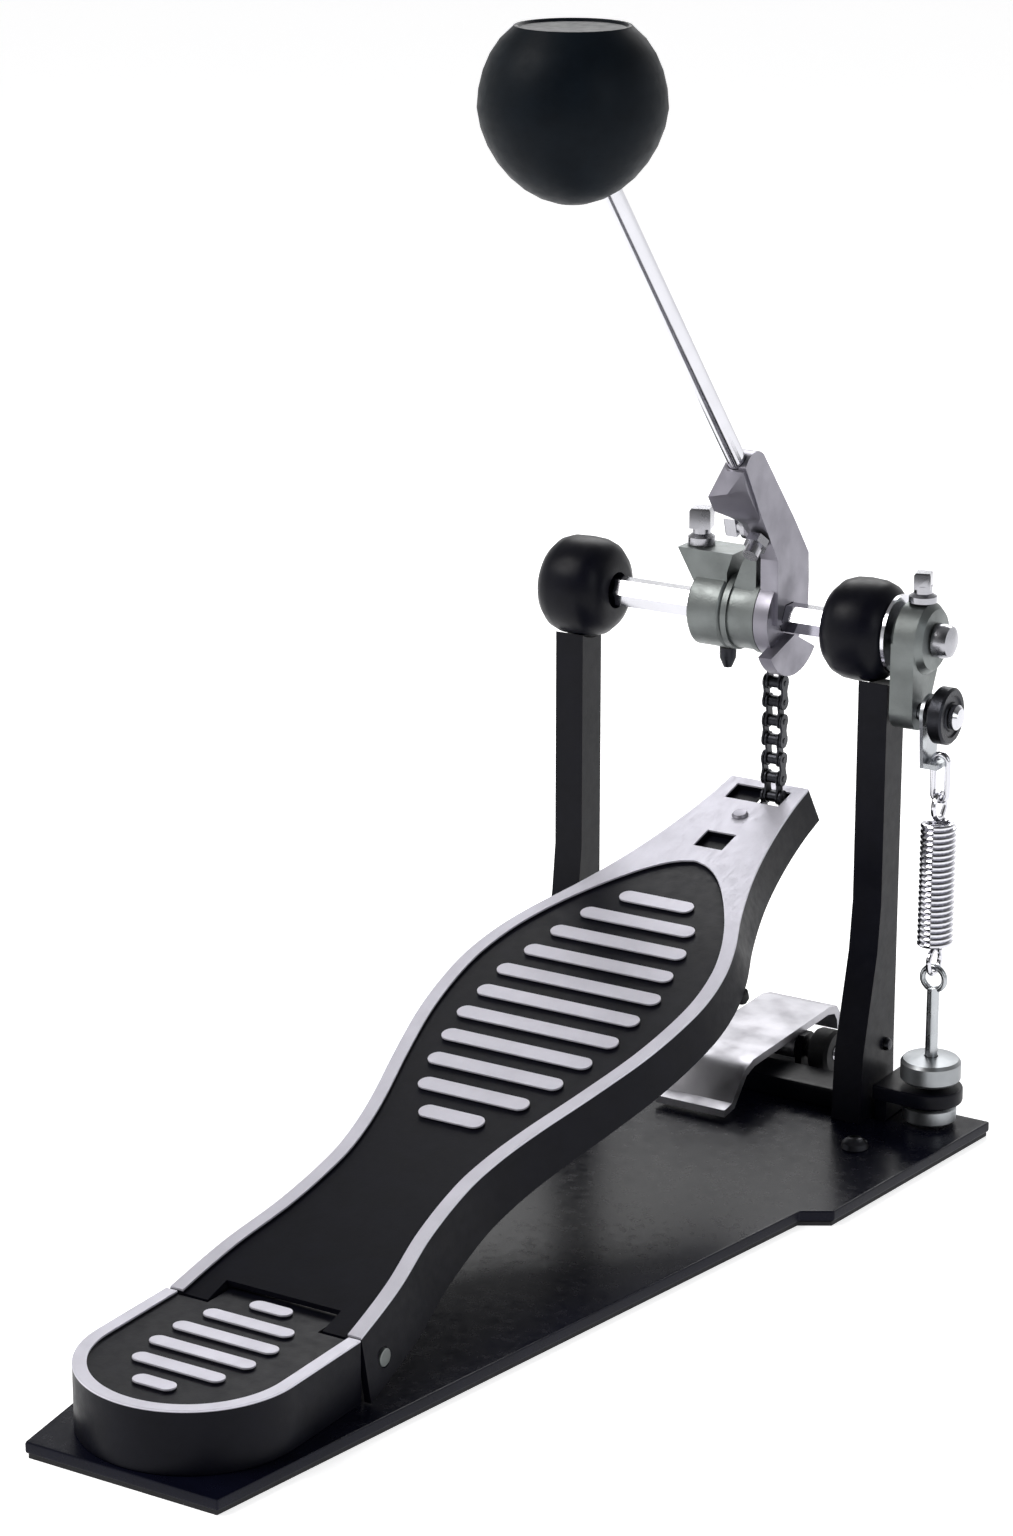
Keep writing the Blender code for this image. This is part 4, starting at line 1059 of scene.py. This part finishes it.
def bare_metal(name, colour, rough, stretch=None, streak=700.0, tint=0.12, depth=0.00004, grain=0.0):
    """Plated, brushed or cast metal with smudges and fine tool marks."""
    finish = Finish(name, metallic=1.0)
    cloud = finish.noise(55.0, 5.0)
    dark, light = shade(colour, 1 - tint), shade(colour, 1 + tint / 2)
    finish.colour(finish.mix(finish.spread(cloud, 0.0, 1.0), dark, light))
    smudge = finish.noise(90.0, 6.0)
    finish.roughness(finish.spread(smudge, rough * 0.75, rough * 1.35))
    if stretch:
        finish.bump(finish.noise(streak, 2.0, stretch), 0.3, depth)
    if grain:
        finish.bump(finish.noise(grain, 4.0), 0.45, 0.00018)
    return finish


def tread_height(finish, tilt, top):
    """Height in metres above the tread's upper face, in its tilted plane."""
    parts = finish.nodes.new("ShaderNodeSeparateXYZ")
    finish.link(finish.place, parts.inputs["Vector"])
    total = None
    for output, factor in (("Y", -math.sin(tilt)), ("Z", math.cos(tilt))):
        node = finish.nodes.new("ShaderNodeMath")
        node.operation = "MULTIPLY_ADD"
        node.inputs[1].default_value = factor
        node.inputs[2].default_value = -top * MM * math.cos(tilt) if total is None else 0.0
        finish.link(parts.outputs[output], node.inputs[0])
        if total:
            finish.link(total, node.inputs[2])
        total = node.outputs["Value"]
    return total


def two_tone(name, tilt, top):
    """Black casting whose raised upper faces are ground back to bright metal."""
    finish = painted(name, BLACK_CAST, 0.4, 900.0, 0.00006, 0.09)
    height = tread_height(finish, tilt, top)
    mask = finish.spread(height, 0.0, 1.0, -0.00075, -0.00045)
    cloud = finish.noise(60.0, 5.0)
    bright = finish.mix(finish.spread(cloud, 0.0, 1.0), shade(BRIGHT_RIM, 0.88), BRIGHT_RIM)
    dark = finish.shader.inputs["Base Color"].links[0].from_socket
    finish.colour(finish.mix(mask, dark, bright))
    dull = finish.shader.inputs["Roughness"].links[0].from_socket
    brushed = finish.spread(finish.noise(160.0, 5.0, (6.0, 1.0, 1.0)), 0.42, 0.58)
    finish.roughness(finish.blend(mask, dull, brushed))
    finish.metallic(finish.blend(mask, 0.0, 0.4))
    return finish


BLACK_CAST = (0.0032, 0.0034, 0.0068)
BLACK_PLATE = (0.0034, 0.0038, 0.0105)
BRIGHT_RIM = (0.68, 0.67, 0.745)


def finishes():
    rubber = painted("rubber", (0.009, 0.009, 0.011), 0.65, 1600.0, 0.0001, 0.3)
    made = {
        "black_casting": painted("black_casting", BLACK_CAST, 0.36, 900.0, 0.00006, 0.12),
        "black_plate": painted("black_plate", BLACK_PLATE, 0.24, 500.0, 0.000004, 0.12),
        "rubber": rubber,
        "beater": painted("beater", (0.0036, 0.0060, 0.0092), 0.46, 500.0, 0.00006, 0.07),
        "black_steel": bare_metal("black_steel", (0.035, 0.036, 0.042), 0.34, None, 700.0, 0.3, 0.0, 900.0),
        "satin_alloy": bare_metal("satin_alloy", (0.27, 0.262, 0.30), 0.4, (0.25, 6.0, 6.0), 260.0),
        "grey_casting": bare_metal("grey_casting", (0.185, 0.2, 0.198), 0.42, None, 700.0, 0.16, 0.0, 1100.0),
        "tread_plate": bare_metal("tread_plate", (0.42, 0.415, 0.445), 0.46, (0.25, 6.0, 6.0), 260.0),
        "bolt": bare_metal("bolt", (0.42, 0.42, 0.45), 0.24, None, 700.0, 0.1),
        "dull_zinc": bare_metal("dull_zinc", (0.33, 0.345, 0.36), 0.4, (5.0, 5.0, 0.4), 300.0),
        "chrome": bare_metal("chrome", (0.66, 0.66, 0.70), 0.13, None, 700.0, 0.06),
        "zinc": bare_metal("zinc", (0.44, 0.46, 0.48), 0.26, (5.0, 5.0, 0.4), 300.0),
    }
    made["tread"] = two_tone("black_casting_bright_tread", TREAD_TILT, HEEL_TOP)
    made["heel"] = two_tone("black_casting_bright_heel", 0.0, HEEL_TOP)
    return made


# Pieces that look different from the rest of their material slot
SPECIAL_FINISH = {
    "footboard": "tread", "heel_plate": "heel", "hoop_jaw": "tread_plate",
    "tension_nut": "dull_zinc", "swivel_boss": "dull_zinc",
    "toe_screw": "satin_alloy", "hinge_pin": "grey_casting",
    "collar_bolt": "bolt", "rod_key_bolt": "bolt", "rod_stop_bolt": "bolt",
    "rocker_key_bolt": "bolt", "shaft_nut": "bolt",
}


def dress():
    """Gives each piece its finish, smooth shading and body, and lets it stand for its CAD node."""
    made = finishes()
    slots = {entry["node"]: entry["material_slot"] for entry in frame["record"]["subparts"]}
    for item in PIECES:
        node = item["node"]
        key = SPECIAL_FINISH.get(node, slots[node])
        item.data.materials.clear()
        item.data.materials.append(made[key].material)
        item.data.shade_smooth()
        item.data.set_sharp_from_angle(angle=math.radians(32))
        if "softened" in item:
            even = item.modifiers.new("even_shading", "WEIGHTED_NORMAL")
            even.keep_sharp = True
            settle(item)
        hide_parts(node)
        if node == "spring":
            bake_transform(item)
        else:
            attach(item, BODY_OF[node])


# ---------------------------------------------------------------- studio

FLOOR_REACH = 8.0
CAMERA_PLACE = Vector((0.6596, -0.9264, 0.5540))
CAMERA_TARGET = Vector((0.00186, 0.13776, 0.16405))
CAMERA_LENS = 95.47

# Where the sky dims: (direction, cosine where it starts, cosine where it ends, what is left)
SKY_FADES = [((0.0, 0.0, 1.0), 0.16, 0.55, 0.25), ((0.5, -0.78, 0.38), 0.2, 0.9, 0.2)]


def plain(name, colour, rough):
    material = bpy.data.materials.new(name)
    material.use_nodes = True
    shader = material.node_tree.nodes["Principled BSDF"]
    shader.inputs["Base Color"].default_value = (*colour, 1.0)
    shader.inputs["Roughness"].default_value = rough
    shader.inputs["Specular IOR Level"].default_value = 0.2
    return material


def panel(name, corners, material):
    mesh = bpy.data.meshes.new(name)
    mesh.from_pydata(corners, [], [(0, 1, 2, 3)])
    item = bpy.data.objects.new(name, mesh)
    item.data.materials.append(material)
    bpy.context.scene.collection.objects.link(item)
    return item


def lamp(name, place, target, size, power, colour=(1.0, 1.0, 1.0)):
    data = bpy.data.lights.new(name, "AREA")
    data.shape = "RECTANGLE"
    data.size = size[0]
    data.size_y = size[1]
    data.energy = power
    data.color = colour
    item = bpy.data.objects.new(name, data)
    item.location = place
    aim = Vector(target) - Vector(place)
    item.rotation_euler = aim.to_track_quat("-Z", "Y").to_euler()
    bpy.context.scene.collection.objects.link(item)
    return item


def sky(world):
    """White near the horizon, dimmer overhead and towards the camera."""
    nodes = world.node_tree.nodes
    links = world.node_tree.links
    back = nodes["Background"]
    way = nodes.new("ShaderNodeTexCoord").outputs["Generated"]
    strength = None
    for direction, low, high, dim in SKY_FADES:
        dot = nodes.new("ShaderNodeVectorMath")
        dot.operation = "DOT_PRODUCT"
        dot.inputs[1].default_value = direction
        links.new(way, dot.inputs[0])
        fade = nodes.new("ShaderNodeMapRange")
        fade.interpolation_type = "SMOOTHSTEP"
        fade.inputs["From Min"].default_value = low
        fade.inputs["From Max"].default_value = high
        fade.inputs["To Min"].default_value = 1.0
        fade.inputs["To Max"].default_value = dim
        links.new(dot.outputs["Value"], fade.inputs["Value"])
        if strength is None:
            strength = fade.outputs["Result"]
            continue
        both = nodes.new("ShaderNodeMath")
        both.operation = "MULTIPLY"
        links.new(strength, both.inputs[0])
        links.new(fade.outputs["Result"], both.inputs[1])
        strength = both.outputs["Value"]
    back.inputs["Color"].default_value = (1.0, 1.0, 1.0, 1.0)
    links.new(strength, back.inputs["Strength"])


def studio():
    bpy.context.scene.view_settings.view_transform = "Standard"
    world = bpy.data.worlds.new("studio")
    bpy.context.scene.world = world
    world.use_nodes = True
    sky(world)
    white = plain("studio_floor", (0.86, 0.86, 0.87), 0.7)
    glow = white.node_tree.nodes["Principled BSDF"]
    glow.inputs["Emission Color"].default_value = (1.0, 1.0, 1.0, 1.0)
    glow.inputs["Emission Strength"].default_value = 0.72
    reach = FLOOR_REACH
    panel("floor", [(-reach, -reach, 0), (reach, -reach, 0), (reach, reach, 0), (-reach, reach, 0)], white)
    centre = (0.0, 0.15, 0.12)
    lamp("key", (-0.9, -0.7, 1.5), centre, (0.9, 0.9), 20.0, (1.0, 0.98, 0.96))
    lamp("rim", (-0.5, 1.5, 1.1), centre, (1.0, 0.7), 11.0)
    lamp("fill", (1.6, -0.4, 0.9), centre, (0.7, 1.0), 5.0, (0.94, 0.97, 1.0))


def camera():
    data = bpy.data.cameras.new("camera")
    data.lens = CAMERA_LENS
    data.clip_start = 0.05
    data.clip_end = 60.0
    item = bpy.data.objects.new("camera", data)
    item.location = CAMERA_PLACE
    aim = CAMERA_TARGET - CAMERA_PLACE
    item.rotation_euler = aim.to_track_quat("-Z", "Y").to_euler()
    bpy.context.scene.collection.objects.link(item)
    bpy.context.scene.camera = item


camera()
make_base()
make_heel()
make_footboard()
make_toe_parts()
make_chain()
make_uprights()
make_axle()
make_drive_cam()
make_collar()
make_holder()
make_beater()
make_rocker()
make_roller()
make_hook()
make_spring()
make_tensioner()
make_clamp()
dress()
studio()
